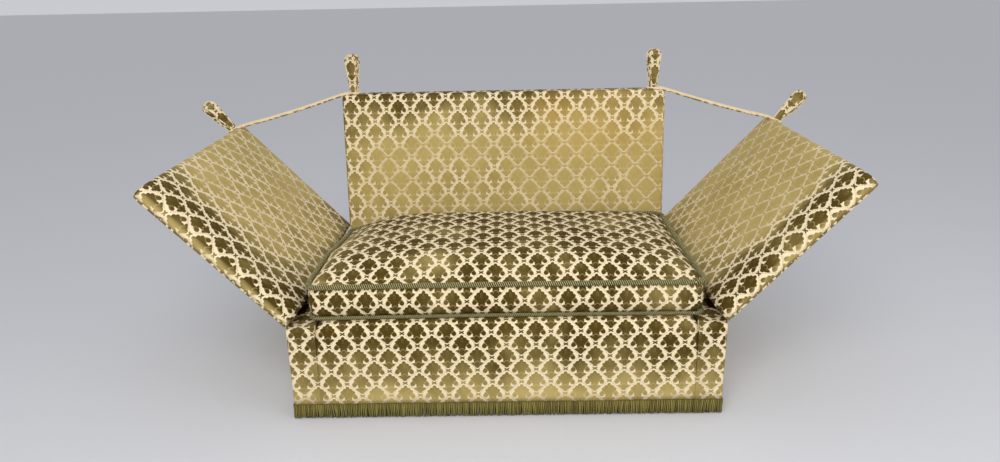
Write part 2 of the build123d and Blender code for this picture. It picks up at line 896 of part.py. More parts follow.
def cushion_cord(height, radius, seat):
    """A round cord sewn along the seam at a height, drawn in from the outline by its seat."""
    seam = cushion_outline(height, seat).face().outer_wire()
    with BuildPart() as cord:
        with BuildSketch(Plane(origin=seam @ 0, x_dir=(0, 0, 1), z_dir=seam % 0)):
            RegularPolygon(radius, cord_sides, rotation=180 / cord_sides)
        sweep(path=seam)
    return cord.part


top_cord = cushion_cord(top_cord_z, top_cord_radius, top_cord_seat)
bottom_cord = cushion_cord(bottom_cord_z, bottom_cord_radius, 0.0)

# Rope loops: round both finials and over the soft edges below them, with a slight sag between.
rope_side = finial_thickness / 2 + (2 * rope_rise + rope_radius) * side_slope + rope_radius + gap
hook_radius = finial_piping_radius + rope_radius + gap
rope_y = rear_y - finial_from_rear
rope_lift = rope_radius + gap
rope_hook = Vector(finial_x - rope_side, 0, back_height + rope_lift)
rope_far = arm_finial_plane.from_local_coords((0, rope_rise, rope_side))
edge_reach = (soft_edge + rope_lift) / cos(radians(rope_edge_turn) / 2)


def over_edge(centre, lean):
    """Where the rope's straight runs meet above a soft edge, at a lean from upright."""
    turn = radians(lean)
    return Vector(centre.X + edge_reach * sin(turn), 0, centre.Z + edge_reach * cos(turn))


back_edge_point = over_edge(Vector(half_back - soft_edge, 0, back_height - soft_edge), rope_edge_turn / 2)
arm_edge_point = over_edge(
    arm_plane.from_local_coords((0, arm_top - soft_edge, arm_inner + soft_edge)), arm_drop / 2
)
sag_shares = ((0.3, 0.84), (0.7, 0.84))
free_run = arm_edge_point - back_edge_point
strand = [rope_hook, back_edge_point]
for run_share, sag_share in sag_shares:
    strand.append(back_edge_point + free_run * run_share - Vector(0, 0, rope_sag * sag_share))
strand.extend((arm_edge_point, Vector(rope_far.X, 0, rope_far.Z)))

with BuildPart() as right_rope:
    half_join = rope_join_gap / 2
    route = [rope_hook + Vector(0, rope_y + half_join, 0)]
    route.extend(point + Vector(0, rope_y + rope_side, 0) for point in strand)
    route.extend(point + Vector(0, rope_y - rope_side, 0) for point in reversed(strand))
    route.append(rope_hook + Vector(0, rope_y - half_join, 0))
    rope_radii = []
    for before, here, after in zip(route, route[1:], route[2:]):
        turn = (here - before).get_angle(after - here)
        tangent = min((here - before).length, (after - here).length) * rope_tangent_share
        if turn > arm_drop:
            rope_radii.append(hook_radius)
        elif turn > rope_edge_turn / 2:
            rope_radii.append(soft_edge + rope_lift)
        else:
            rope_radii.append(tangent / tan(radians(turn) / 2))
    with BuildLine() as rope_line:
        FilletPolyline(*route, radius=rope_radii)
    with BuildSketch(Plane(origin=rope_line.line @ 0, z_dir=rope_line.line % 0)) as rope_section:
        RegularPolygon(rope_radius, cord_sides)
    sweep()

rope_length = sum(edge.length for edge in rope_line.edges())
rope_volume = rope_section.sketch.area * rope_length
print("rope bend radii", [round(radius, 1) for radius in rope_radii])
print("rope length", round(rope_length, 1), "volume share", round(right_rope.part.volume / rope_volume, 4))

# Write the pieces
save(corner_posts.part, "corner_posts")
save(floor_glides.part, "floor_glides")
save(front_rail.part, "front_rail")
save(rear_rail.part, "rear_rail")
save(side_rails.part, "side_rails")
save(ledge_boards.part, "ledge_boards")
save(tacking_rails.part, "tacking_rails")
save(seat_bearers.part, "seat_bearers")
save(corner_braces.part, "corner_braces")
save(webbing_crosswise.part, "webbing_crosswise")
save(webbing_lengthwise.part, "webbing_lengthwise")
save(platform_pad.part, "platform_pad")
save(platform_cloth.part, "platform_cloth")
save(dust_cover.part, "dust_cover")
save(front_border_cover.part, "front_border_cover")
save(front_border_pad.part, "front_border_pad")
save_pair(right_side_cover.part, "side_cover")
save(base_piping.part, "base_piping")
save(front_fringe, "front_fringe")
save(rear_fringe, "rear_fringe")
save_pair(side_fringe, "fringe")
save(back_stiles.part, "back_stiles")
save(back_rails.part, "back_rails")
save(back_webbing.part, "back_webbing")
save(back_pad.part, "back_pad")
save(inside_back_cover.part, "inside_back_cover")
save(outside_back_cover.part, "outside_back_cover")
save(back_piping.part, "back_piping")
save(back_finial_cores.part, "back_finial_cores")
save(back_finial_covers.part, "back_finial_covers")
save(back_finial_piping.part, "back_finial_piping")
save(hinge_fixed_leaves.part, "hinge_fixed_leaves")
save(hinge_pins.part, "hinge_pins")
save_pair(right_arm_frame.part, "arm_frame")
save_pair(right_arm_pad.part, "arm_pad")
save_pair(right_arm_inside_cover.part, "arm_inside_cover")
save_pair(right_arm_outside_cover.part, "arm_outside_cover")
save_pair(right_arm_piping.part, "arm_piping")
save_pair(finial_core(arm_finial_plane, arm_edge), "arm_finial_core")
save_pair(finial_cover(arm_finial_plane), "arm_finial_cover")
save_pair(right_arm_finial_piping.part, "arm_finial_piping")
save_pair(hinge_leaves(arm_drop, 1, 1), "hinge_leaves")
save(seat_cushion_filling.part, "seat_cushion_filling")
save(seat_cushion_cover.part, "seat_cushion_cover")
save(top_cord, "cushion_top_cord")
save(bottom_cord, "cushion_bottom_cord")
save_pair(right_rope.part, "rope")
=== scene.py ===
import math
import random

import bmesh
import bpy
from mathutils import Matrix, Vector, noise


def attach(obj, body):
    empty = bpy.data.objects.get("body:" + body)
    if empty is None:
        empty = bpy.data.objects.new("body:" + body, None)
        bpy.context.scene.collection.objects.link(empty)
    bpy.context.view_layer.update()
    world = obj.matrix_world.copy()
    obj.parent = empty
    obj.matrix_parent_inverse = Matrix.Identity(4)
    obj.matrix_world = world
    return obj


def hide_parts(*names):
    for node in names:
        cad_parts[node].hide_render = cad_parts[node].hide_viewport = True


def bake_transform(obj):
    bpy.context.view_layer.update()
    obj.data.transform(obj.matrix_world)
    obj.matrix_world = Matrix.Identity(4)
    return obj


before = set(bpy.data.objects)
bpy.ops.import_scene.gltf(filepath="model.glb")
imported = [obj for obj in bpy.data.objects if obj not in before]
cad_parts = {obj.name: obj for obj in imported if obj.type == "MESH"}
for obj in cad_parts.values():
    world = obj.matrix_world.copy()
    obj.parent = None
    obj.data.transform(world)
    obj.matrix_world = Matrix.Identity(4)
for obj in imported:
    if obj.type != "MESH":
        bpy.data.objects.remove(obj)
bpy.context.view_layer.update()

scene = bpy.context.scene
TAU = 2 * math.pi

# Sizes, in metres, where the CAD has them
HALF = 0.740
FRONT = -0.488
REAR = 0.488
FLOOR_EDGE = 0.052
LEDGE = 0.344
DECK = 0.358
LEDGE_X = 0.647
BORDER_X = 0.645
BORDER_DEPTH = 0.110
HALF_BACK = 0.680
BACK_TOP = 0.982
PIPE = 0.0045
PIPE_SPACE = 0.0093
REPEAT = 0.100
BASE_ROWS = 0.095
CUSHION_REPEAT = 0.097
CLOTH = 0.002
RAKE = math.radians(7.0)
DROP = math.radians(43.0)
PIN = Vector((0.745, FRONT, 0.34615))
ARM_LOW = 0.00215
ARM_TOP = 0.63815
ARM_INNER = -0.063
ARM_OUTER = -0.005
DEPTH = 0.976
SEAT_DEPTH = 0.815
FINIAL_X = 0.630
FINIAL_Y = 0.450
FINIAL_TALL = 0.165
CUSHION_HALF_X = 0.669
CUSHION_FRONT = -0.453
CUSHION_REAR = 0.328
CUSHION_LOW = 0.3583
LOW_CORD = 0.3661
TOP_CORD = 0.4791
STRAND_PITCH = 0.0060
FRINGE_END = 0.0035
SLIT_FOOT = LEDGE - 0.095
PLATFORM_DEPTH = 0.826
CUT = 0.034
BEND = 0.0155
PANEL_BEND = 0.0105
NEAR = 0.001


def clamp(share):
    """The same number, held between 0 and 1."""
    return max(0.0, min(1.0, share))


def back_face(height):
    """Depth of the back's raked front face at a height."""
    return FRONT + PLATFORM_DEPTH + (height - DECK) * math.tan(RAKE)


# Camera
EYE = (0.0137, -2.7703, 1.4740)
YAW, PITCH, TILT = math.radians(-0.693), math.radians(19.14), math.radians(-1.157)
LENS = 27.25
SENSOR = 36.0


def aim_camera():
    """The photograph's viewpoint: a lens above the seat, turned, lowered and tilted a little."""
    yaw, pitch, roll = YAW, PITCH, TILT
    ahead = Vector((math.sin(yaw) * math.cos(pitch), math.cos(yaw) * math.cos(pitch), -math.sin(pitch)))
    right = Vector((math.cos(yaw), -math.sin(yaw), 0.0))
    up = right.cross(ahead)
    across = math.cos(roll) * right + math.sin(roll) * up
    upright = math.cos(roll) * up - math.sin(roll) * right
    data = bpy.data.cameras.new("camera")
    data.lens = LENS
    data.sensor_width = SENSOR
    camera = bpy.data.objects.new("camera", data)
    scene.collection.objects.link(camera)
    turn = Matrix((across, upright, -ahead)).transposed()
    camera.matrix_world = Matrix.Translation(EYE) @ turn.to_4x4()
    scene.camera = camera


aim_camera()


# Finishes
def paint(red, green, blue):
    """A colour as seen on a screen, 0 to 255, in the numbers that shaders use."""
    def linear(level):
        level /= 255
        return level / 12.92 if level <= 0.04045 else ((level + 0.055) / 1.055) ** 2.4
    return linear(red), linear(green), linear(blue), 1.0


class Signal:
    """One number over a surface; arithmetic on it adds Math nodes."""

    def __init__(self, finish, socket):
        self.finish = finish
        self.socket = socket

    def do(self, operation, *others):
        return self.finish.maths(operation, self, *others)

    def __add__(self, other):
        return self.do("ADD", other)

    def __sub__(self, other):
        return self.do("SUBTRACT", other)

    def __rsub__(self, other):
        return self.finish.maths("SUBTRACT", other, self)

    def __mul__(self, other):
        return self.do("MULTIPLY", other)

    def __abs__(self):
        return self.do("ABSOLUTE")

    __radd__ = __add__
    __rmul__ = __mul__

    def fade(self, low, high):
        """0 below low, 1 above high and smooth between; turned round where low is the greater."""
        ends = {"From Min": low, "From Max": high} if low < high else {"From Min": high, "From Max": low}
        levels = {"To Min": 0.0, "To Max": 1.0} if low < high else {"To Min": 1.0, "To Max": 0.0}
        made = self.finish.node(
            "ShaderNodeMapRange", {"interpolation_type": "SMOOTHSTEP"}, {"Value": self, **ends, **levels}
        )
        return Signal(self.finish, made.outputs["Result"])


class Finish:
    """A material on one Principled shader."""

    def __init__(self, name, roughness, metallic=0.0, sheen=0.0, gloss=0.5):
        self.material = bpy.data.materials.new(name)
        self.material.use_nodes = True
        self.tree = self.material.node_tree
        self.shader = self.tree.nodes["Principled BSDF"]
        self.feed(self.shader.inputs["Roughness"], roughness)
        self.feed(self.shader.inputs["Metallic"], metallic)
        self.feed(self.shader.inputs["Specular IOR Level"], gloss)
        self.feed(self.shader.inputs["Sheen Weight"], sheen)
        self.feed(self.shader.inputs["Sheen Roughness"], 0.4)

    def feed(self, socket, value):
        if isinstance(value, Signal):
            value = value.socket
        if isinstance(value, bpy.types.NodeSocket):
            self.tree.links.new(value, socket)
        else:
            socket.default_value = value

    def node(self, kind, settings, values):
        made = self.tree.nodes.new(kind)
        for key, value in settings.items():
            setattr(made, key, value)
        for key, value in values.items():
            self.feed(made.inputs[key], value)
        return made

    def maths(self, operation, *values):
        made = self.node("ShaderNodeMath", {"operation": operation}, dict(enumerate(values)))
        return Signal(self, made.outputs[0])

    def mix(self, amount, first, second):
        made = self.node("ShaderNodeMix", {"data_type": "RGBA"}, {0: amount, 6: first, 7: second})
        return made.outputs[2]

    def weave(self):
        """The two distances on the cloth, counted in pattern repeats."""
        uv = self.node("ShaderNodeUVMap", {"uv_map": "weave"}, {})
        split = self.node("ShaderNodeSeparateXYZ", {}, {"Vector": uv.outputs["UV"]})
        return Signal(self, split.outputs["X"]), Signal(self, split.outputs["Y"])

    def painted(self, name):
        """A number kept on the piece's own points."""
        made = self.node("ShaderNodeAttribute", {"attribute_name": name}, {})
        return Signal(self, made.outputs["Fac"])

    def speckle(self, scale, detail=2.0, stretch=(1.0, 1.0, 1.0), on_cloth=False):
        """Smooth noise around 0.5, on the object or on its cloth."""
        if on_cloth:
            place = self.node("ShaderNodeUVMap", {"uv_map": "weave"}, {}).outputs["UV"]
        else:
            place = self.node("ShaderNodeTexCoord", {}, {}).outputs["Object"]
        placed = self.node("ShaderNodeMapping", {}, {"Vector": place, "Scale": stretch})
        made = self.node(
            "ShaderNodeTexNoise", {}, {"Vector": placed.outputs["Vector"], "Scale": scale, "Detail": detail}
        )
        return Signal(self, made.outputs["Fac"])

    def wear(self, colour, height=None, strength=0.3, depth=0.001):
        """Colour and, where given, relief of the finished surface."""
        self.feed(self.shader.inputs["Base Color"], colour)
        if height is not None:
            made = self.node(
                "ShaderNodeBump", {}, {"Height": height, "Strength": strength, "Distance": depth}
            )
            self.feed(self.shader.inputs["Normal"], made.outputs["Normal"])
        return self.material


# Leaves of the palmette, as ellipses beside its axis: distance out, height, and the two radii.
LEAVES = (
    (0.0, 0.322, 0.064, 0.076),
    (0.086, 0.248, 0.086, 0.060),
    (0.154, 0.152, 0.100, 0.072),
    (0.0, 0.130, 0.150, 0.190),
    (0.125, 0.030, 0.168, 0.088),
    (0.0, -0.110, 0.122, 0.140),
    (0.142, -0.232, 0.064, 0.056),
    (0.0, -0.260, 0.148, 0.092),
    (0.0, -0.350, 0.076, 0.062),
)
# The gold lines: inside the crown, over the foot and round the curls; the dot is a bite of ground.
FLAME = (0.0, 0.185, 0.028, 0.085)
WAIST = (0.0, -0.300, 0.105, 0.170)
CURL = (0.244, -0.042, 0.082, 0.090)
DOT = (0.168, -0.142, 0.040, 0.048)
LEAN = 0.060
DASHES = 9
CLOUDS = 5.5
FIBRES = 620.0


def leaf(out, up, lobe):
    """Below 1 inside one leaf."""
    x, y, wide, tall = lobe
    across = (out - x) * (1 / wide)
    rise = (up - y) * (1 / tall)
    return across * across + rise * rise


def ring(value, inner, outer):
    """1 in a thin band round an ellipse."""
    return value.fade(inner - 0.12, inner + 0.06) * value.fade(outer + 0.12, outer - 0.06)


def cut_velvet():
    """Ogee trellis woven in cream, with palmettes in cut pile that go from dark to gold as the pile lies,
    with painted sheen and shade.
    """
    f = Finish("cut_velvet", roughness=0.85, sheen=0.02, gloss=0.12)
    u, v = f.weave()
    out = abs(u - u.do("ROUND"))
    row = v - v.do("ROUND")
    rise = abs(row)
    lean = (row * TAU).do("SINE") * LEAN
    edge = out + rise - 0.5 - lean
    side = edge.do("GREATER_THAN", 0.0)
    p = out + side * (0.5 - out - out)
    q = row - side * row.do("SIGN") * 0.5
    shape = leaf(p, q, LEAVES[0])
    for lobe in LEAVES[1:]:
        shape = shape.do("MINIMUM", leaf(p, q, lobe))
    curl = leaf(p, q, CURL)
    motif = shape.do("MINIMUM", curl).fade(1.12, 0.88) * leaf(p, q, DOT).fade(0.8, 1.15)
    # Small crossed flowers where the trellis meets
    near = (out - rise).do("GREATER_THAN", 0.0)
    dx = out + near * (0.5 - out - out)
    dy = (0.5 - rise) + near * (rise + rise - 0.5)
    reach = dx * dx + dy * dy
    flower = abs(dx * 0.66 - dy).fade(0.038, 0.022) * reach.fade(0.0105, 0.0070)
    pile = motif.do("MAXIMUM", flower)
    # Pile: how far it lies over and looks pale, together with painted sheen and shade
    nap_and_sheen = f.painted("nap_and_sheen")
    cloudy = f.speckle(CLOUDS, 3.0) - 0.5
    cell = f.speckle(0.9, 1.0, on_cloth=True) - 0.5
    lie_and_sheen = nap_and_sheen + cloudy * 0.9 + cell * 0.6
    pale = lie_and_sheen.fade(0.0, 1.0)
    fibres = f.speckle(FIBRES, 2.0) - 0.5
    grain = (pale + fibres * 0.36).do("MAXIMUM", 0.0).do("MINIMUM", 1.0)
    # Dark and pale pile: the velvet with painted shade and with painted sheen, as well as lying two ways
    dark_pile_and_shade = f.mix(f.speckle(7.0), paint(56, 40, 4), paint(90, 71, 20))
    pale_pile_and_sheen = f.mix(f.speckle(6.0), paint(166, 144, 80), paint(202, 180, 114))
    nap_and_sheen_colour = f.mix(grain, dark_pile_and_shade, pale_pile_and_sheen)
    # Gold lines round the curls, in the crown and over the foot
    flame = ring(leaf(p, q, FLAME), 0.8, 1.3) * q.fade(0.10, 0.15) * 0.5
    waist = ring(leaf(p, q, WAIST), 0.85, 1.1) * q.fade(-0.26, -0.22) * 0.7
    lines = ring(curl, 1.05, 1.35).do("MAXIMUM", flame).do("MAXIMUM", waist) * motif * 0.8
    nap_and_sheen_colour = f.mix(lines, nap_and_sheen_colour, f.mix(pale, paint(190, 166, 104), paint(218, 198, 144)))
    # Woven ground: cream with two fine broken lines along the trellis
    line = abs(edge) * 0.72
    dashes = ((out - rise) * (TAU * DASHES)).do("SINE").fade(-0.8, -0.3)
    pair = ring(line * 60, 0.9, 1.6) * dashes * reach.fade(0.010, 0.018)
    satin = f.speckle(900.0, 1.0, (1.0, 1.0, 0.35))
    cream = f.mix(satin, paint(226, 206, 164), paint(252, 236, 198))
    cream = f.mix(pair * 0.9, cream, paint(160, 128, 88))
    # The cream is dulled where the pile looks pale, so it follows the painted sheen too
    cream = f.mix(lie_and_sheen.fade(0.55, 1.05) * 0.25, cream, paint(196, 170, 124))
    spread = line.fade(0.036, 0.060) * lie_and_sheen.fade(0.82, 1.10)
    ground = f.mix(spread * 0.85, cream, f.mix(satin, paint(168, 146, 84), paint(198, 176, 112)))
    colour = f.mix(pile, ground, nap_and_sheen_colour)
    colour = f.mix(f.painted("warm") * 0.6, colour, f.mix(pile, paint(234, 198, 130), paint(196, 150, 72)))
    relief = pile * 0.8 + fibres * 0.25 + satin * 0.1
    return f.wear(colour, relief, 0.5, 0.0012)


def bias_piping(name, dark_share):
    """Piping cut on the bias from the velvet: cream with short dark flecks of pile."""
    f = Finish(name, roughness=0.85, sheen=0.03, gloss=0.2)
    flecks = f.speckle(70.0, 1.0).fade(0.60 - dark_share, 0.66 - dark_share)
    weave = f.speckle(850.0, 1.0)
    cream = f.mix(weave, paint(216, 194, 150), paint(244, 224, 182))
    pile = f.mix(f.speckle(30.0), paint(70, 54, 16), paint(152, 130, 70))
    return f.wear(f.mix(flecks, cream, pile), weave + flecks, 0.4, 0.0008)


def rope_cloth():
    """Cream cloth sewn round the rope, with dark flecks of pile kept to its underside as painted shade."""
    f = Finish("rope_cloth", roughness=0.85, sheen=0.03, gloss=0.2)
    weave = f.speckle(950.0, 1.0)
    flecks = f.speckle(95.0, 2.0, (0.6, 1.0, 1.0)).fade(0.42, 0.56) * f.painted("under")
    cream = f.mix(weave, paint(222, 200, 154), paint(248, 230, 190))
    return f.wear(f.mix(flecks * 0.9, cream, paint(104, 82, 38)), weave, 0.3, 0.0006)


def twisted_trim(name, groove, top):
    """Green twisted cord or fringe, with painted shade: darker in its grooves, paler on the crests."""
    f = Finish(name, roughness=0.85, sheen=0.03, gloss=0.15)
    crest_and_shade = f.painted("crest_and_shade")
    thread = f.speckle(520.0, 2.0)
    groove_shade = f.mix(thread, paint(28, 25, 7), paint(46, 41, 16))
    raised = f.mix(
        f.speckle(14.0), paint(top - 30, top - 42, top - 102), paint(top, top - 12, top - 86)
    )
    shade = (crest_and_shade + (thread - 0.5) * 0.35).fade(groove, 1.0)
    return f.wear(f.mix(shade, groove_shade, raised), thread, 0.35, 0.0008)


def timber():
    f = Finish("timber", roughness=0.62)
    grain = f.speckle(24.0, 4.0, (1.0, 1.0, 9.0))
    streak = f.speckle(70.0, 3.0, (9.0, 1.0, 1.0))
    colour = f.mix(grain, paint(160, 122, 78), paint(196, 160, 112))
    return f.wear(f.mix(streak * 0.4, colour, paint(128, 90, 54)), grain, 0.2, 0.0008)


def woven(name, first, second, scale):
    """Plain over-and-under cloth in two close colours."""
    f = Finish(name, roughness=0.9, sheen=0.05, gloss=0.2)
    place = f.node("ShaderNodeTexCoord", {}, {})
    split = f.node("ShaderNodeSeparateXYZ", {}, {"Vector": place.outputs["Object"]})
    x, y, z = (Signal(f, split.outputs[key]) for key in "XYZ")
    threads = ((x + z) * scale).do("SINE") * ((y - z) * scale).do("SINE")
    lift = threads * 0.5 + 0.5
    worn = f.speckle(12.0, 3.0)
    return f.wear(f.mix((lift + worn) * 0.5, first, second), lift, 0.4, 0.0008)


# Aged brass, darkened all over as painted shade and varied by tarnish
def brass():
    f = Finish("hinge_brass", roughness=0.35, metallic=1.0)
    tarnish_and_shade = f.speckle(60.0, 4.0)
    f.feed(f.shader.inputs["Roughness"], tarnish_and_shade * 0.35 + 0.2)
    return f.wear(f.mix(tarnish_and_shade, paint(84, 64, 34), paint(150, 122, 70)), tarnish_and_shade, 0.1, 0.0003)


def glide_black():
    f = Finish("glide_black", roughness=0.5)
    scuff = f.speckle(120.0, 4.0).fade(0.55, 0.8)
    return f.wear(f.mix(scuff, paint(28, 26, 24), paint(74, 70, 66)), scuff, 0.1, 0.0004)


VELVET = cut_velvet()
CREAM_PIPING = bias_piping("cream_piping", 0.06)
FLECKED_PIPING = bias_piping("flecked_piping", 0.16)
ROPE = rope_cloth()
FRINGE = twisted_trim("fringe_cotton", 0.15, 170)
SEAM_CORD = twisted_trim("seam_cord", 0.68, 254)
TIMBER = timber()
WEBBING = woven("jute_webbing", paint(120, 92, 52), paint(172, 142, 92), 1500.0)
LINING = woven("black_cotton", paint(26, 24, 22), paint(48, 45, 42), 2200.0)
PLATFORM = woven("platform_cotton", paint(120, 106, 62), paint(146, 132, 86), 1900.0)
BRASS = brass()
GLIDE = glide_black()

for node_name, finish in (
    *((name, TIMBER) for name in (
        "corner_posts", "front_rail", "rear_rail", "side_rails", "ledge_boards", "tacking_rails",
        "seat_bearers", "corner_braces", "back_stiles", "back_rails", "back_finial_cores",
        "left_arm_frame", "right_arm_frame", "left_arm_finial_core", "right_arm_finial_core",
    )),
    *((name, WEBBING) for name in ("webbing_crosswise", "webbing_lengthwise", "back_webbing")),
    *((name, BRASS) for name in (
        "hinge_fixed_leaves", "hinge_pins", "left_hinge_leaves", "right_hinge_leaves",
    )),
    ("floor_glides", GLIDE),
):
    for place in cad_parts[node_name].material_slots:
        place.material = finish


# Making pieces
def block(low, high):
    """A plain block between two corners."""
    bm = bmesh.new()
    bmesh.ops.create_cube(bm, size=1.0)
    low, high = Vector(low), Vector(high)
    bmesh.ops.scale(bm, vec=high - low, verts=bm.verts)
    bmesh.ops.translate(bm, vec=(low + high) / 2, verts=bm.verts)
    return bm


def round_edges(bm, radius, segments, chosen):
    """Rounds the edges whose middle is chosen."""
    edges = [e for e in bm.edges if chosen((e.verts[0].co + e.verts[1].co) / 2)]
    bmesh.ops.bevel(
        bm, geom=edges, offset=radius, offset_type="OFFSET", segments=segments, profile=0.5,
        affect="EDGES", material=-1, clamp_overlap=True,
    )


def slice_at(bm, axis, place):
    """Cuts the whole piece across an axis at one place."""
    normal = Vector([1.0 if i == axis else 0.0 for i in range(3)])
    geometry = bm.verts[:] + bm.edges[:] + bm.faces[:]
    bmesh.ops.bisect_plane(bm, geom=geometry, plane_co=normal * place, plane_no=normal)


def slice_up(bm, axis, low, high, step):
    """Cuts the piece across an axis at even steps, so that it can be shaped."""
    count = max(1, round((high - low) / step))
    for index in range(1, count):
        slice_at(bm, axis, low + (high - low) * index / count)


def unroll(inward, below, radius):
    """Length along the cloth from the start of a rounded edge, over it and onto the next face."""
    if below >= radius:
        return radius - below
    if inward >= radius:
        return radius * math.pi / 2 + inward - radius
    return radius * math.atan2(radius - below, radius - inward)


def lay_cloth(bm, rule, across=0.0, along=0.0, wide=REPEAT, tall=REPEAT):
    """Maps each face of the cloth by a rule on its points, with a motif at the two given places."""
    bm.normal_update()
    layer = bm.loops.layers.uv.new("weave")
    for face in bm.faces:
        for loop in face.loops:
            u, v = rule(loop.vert.co, face.normal)
            loop[layer].uv = ((u - across) / wide, (v - along) / tall)


def brush(bm, nap_and_sheen, warm=None):
    """Keeps on the points how the pile lies, with painted sheen and shade."""
    nap_and_sheen_layer = bm.verts.layers.float.new("nap_and_sheen")
    warm_layer = bm.verts.layers.float.new("warm")
    for vert in bm.verts:
        vert[nap_and_sheen_layer] = nap_and_sheen(vert.co)
        vert[warm_layer] = warm(vert.co) if warm else 0.0


def swell(bm, amount):
    """Moves each point along its normal by an amount that depends on its place."""
    bm.normal_update()
    moves = [(vert, vert.normal * amount(vert.co)) for vert in bm.verts]
    for vert, move in moves:
        vert.co += move


def mirror_x(bm):
    bmesh.ops.scale(bm, vec=(-1.0, 1.0, 1.0), verts=bm.verts)
    bmesh.ops.reverse_faces(bm, faces=bm.faces)


def finish_piece(obj, body, stands_for):
    if body:
        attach(obj, body)
    if stands_for:
        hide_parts(*stands_for)
    return obj


def dress(name, mesh, body, finish, stands_for=(), smooth=True):
    """Gives a mesh its finish and makes it one named piece on a body."""
    mesh.materials.clear()
    mesh.materials.append(finish)
    if smooth:
        mesh.shade_smooth()
    obj = bpy.data.objects.new(name, mesh)
    scene.collection.objects.link(obj)
    return finish_piece(obj, body, stands_for)


def piece(name, bm, body, finish, stands_for=(), smooth=True):
    """Turns a shaped mesh into one named piece on a body."""
    mesh = bpy.data.meshes.new(name)
    bm.to_mesh(mesh)
    bm.free()
    return dress(name, mesh, body, finish, stands_for, smooth)


def soften(obj, levels=1):
    modifier = obj.modifiers.new("soften", "SUBSURF")
    modifier.levels = modifier.render_levels = levels
    return obj


def bend_path(corners, radius, steps=6, closed=False):
    """A line through corners, each rounded by an arc."""
    points = []
    count = len(corners)
    for index, corner in enumerate(corners):
        here = Vector(corner)
        if not closed and index in (0, count - 1):
            points.append(here)
            continue
        before, after = Vector(corners[index - 1]), Vector(corners[(index + 1) % count])
        inward, outward = (before - here).normalized(), (after - here).normalized()
        half = inward.angle(outward) / 2
        reach = radius / math.tan(half)
        centre = here + (inward + outward).normalized() * (radius / math.sin(half))
        start, end = here + inward * reach - centre, here + outward * reach - centre
        for step in range(steps + 1):
            points.append(centre + start.slerp(end, step / steps).normalized() * radius)
    return points


def even_steps(points, step, closed=False):
    """The same line with points at even distances."""
    line = points + points[:1] if closed else points
    lengths = [(b - a).length for a, b in zip(line, line[1:])]
    total = sum(lengths)
    count = max(2, round(total / step))
    spots = []
    index, passed = 0, 0.0
    for number in range(count if closed else count + 1):
        target = total * number / count
        while index < len(lengths) - 1 and passed + lengths[index] < target:
            passed += lengths[index]
            index += 1
        share = (target - passed) / lengths[index] if lengths[index] else 0.0
        spots.append(line[index].lerp(line[index + 1], min(share, 1.0)))
    return spots


def mesh_of_curve(data):
    """The mesh that a curve draws; the curve's own object goes away again."""
    holder = bpy.data.objects.new(data.name, data)
    scene.collection.objects.link(holder)
    bpy.context.view_layer.update()
    mesh = bpy.data.meshes.new_from_object(holder.evaluated_get(bpy.context.evaluated_depsgraph_get()))
    bpy.data.objects.remove(holder)
    return mesh


def tube_mesh(name, points, radius, closed=False, sides=2):
    """A round tube along points, as a mesh whose points run ring by ring."""
    data = bpy.data.curves.new(name, "CURVE")
    data.dimensions = "3D"
    spline = data.splines.new("POLY")
    spline.points.add(len(points) - 1)
    for spot, point in zip(spline.points, points):
        spot.co = (*point, 1.0)
    spline.use_cyclic_u = closed
    data.bevel_depth = radius
    data.bevel_resolution = sides
    data.use_fill_caps = not closed
    mesh = mesh_of_curve(data)
    mesh.name = name
    return mesh


def tube(name, points, radius, body, finish, stands_for=(), closed=False, sides=2):
    """Piping or cord without relief."""
    return dress(name, tube_mesh(name, points, radius, closed, sides), body, finish, stands_for)


def twist(mesh, points, pitch, strands, relief, step):
    """Presses the turns of a twisted cord into a tube, and keeps how far each point stands out, which the
    cord's finish paints as shade in the grooves.
    """
    around = len(mesh.vertices) // len(points)
    crest_and_shade = mesh.attributes.new("crest_and_shade", "FLOAT", "POINT")
    for index, point in enumerate(points):
        for corner in range(around):
            spot = mesh.vertices[index * around + corner]
            turn = strands * (TAU * corner / around - TAU * index * step / pitch)
            lift = abs(math.cos(turn / 2))
            spot.co = point + (spot.co - point) * (1 - relief + relief * math.sqrt(lift))
            crest_and_shade.data[index * around + corner].value = lift


def smooth_noise(place, size):
    """Smooth noise from -1 to 1 whose lumps have about the given size."""
    return noise.noise(Vector(place) / size)


# Base
LIP = 0.032
LIP_BEND = 0.030
LIP_CORNER = 0.042
SIDE_BEND = 0.006
MOTIF_HEIGHT = 0.324
SLIT_OPEN = 0.004
PIPING_TOP = 0.3295


def weave_front(co, normal):
    """Front cloth of the base, over the lip and back along the seat."""
    v = DECK - LIP + unroll(co.y - FRONT, DECK - co.z, LIP)
    if abs(normal.x) > 0.8:
        return math.copysign(BORDER_X, co.x) + (co.y - FRONT) * math.copysign(1, co.x), co.z
    return co.x, v


# Pile on the base with painted sheen and shade: pale low down and darker towards the top.
def base_nap_and_sheen(co):
    height = (co.z - FLOOR_EDGE) / (DECK - FLOOR_EDGE)
    return 0.92 - 0.80 * clamp(height / 0.80) ** 0.75 + 0.12 * smooth_noise(co, 0.22)


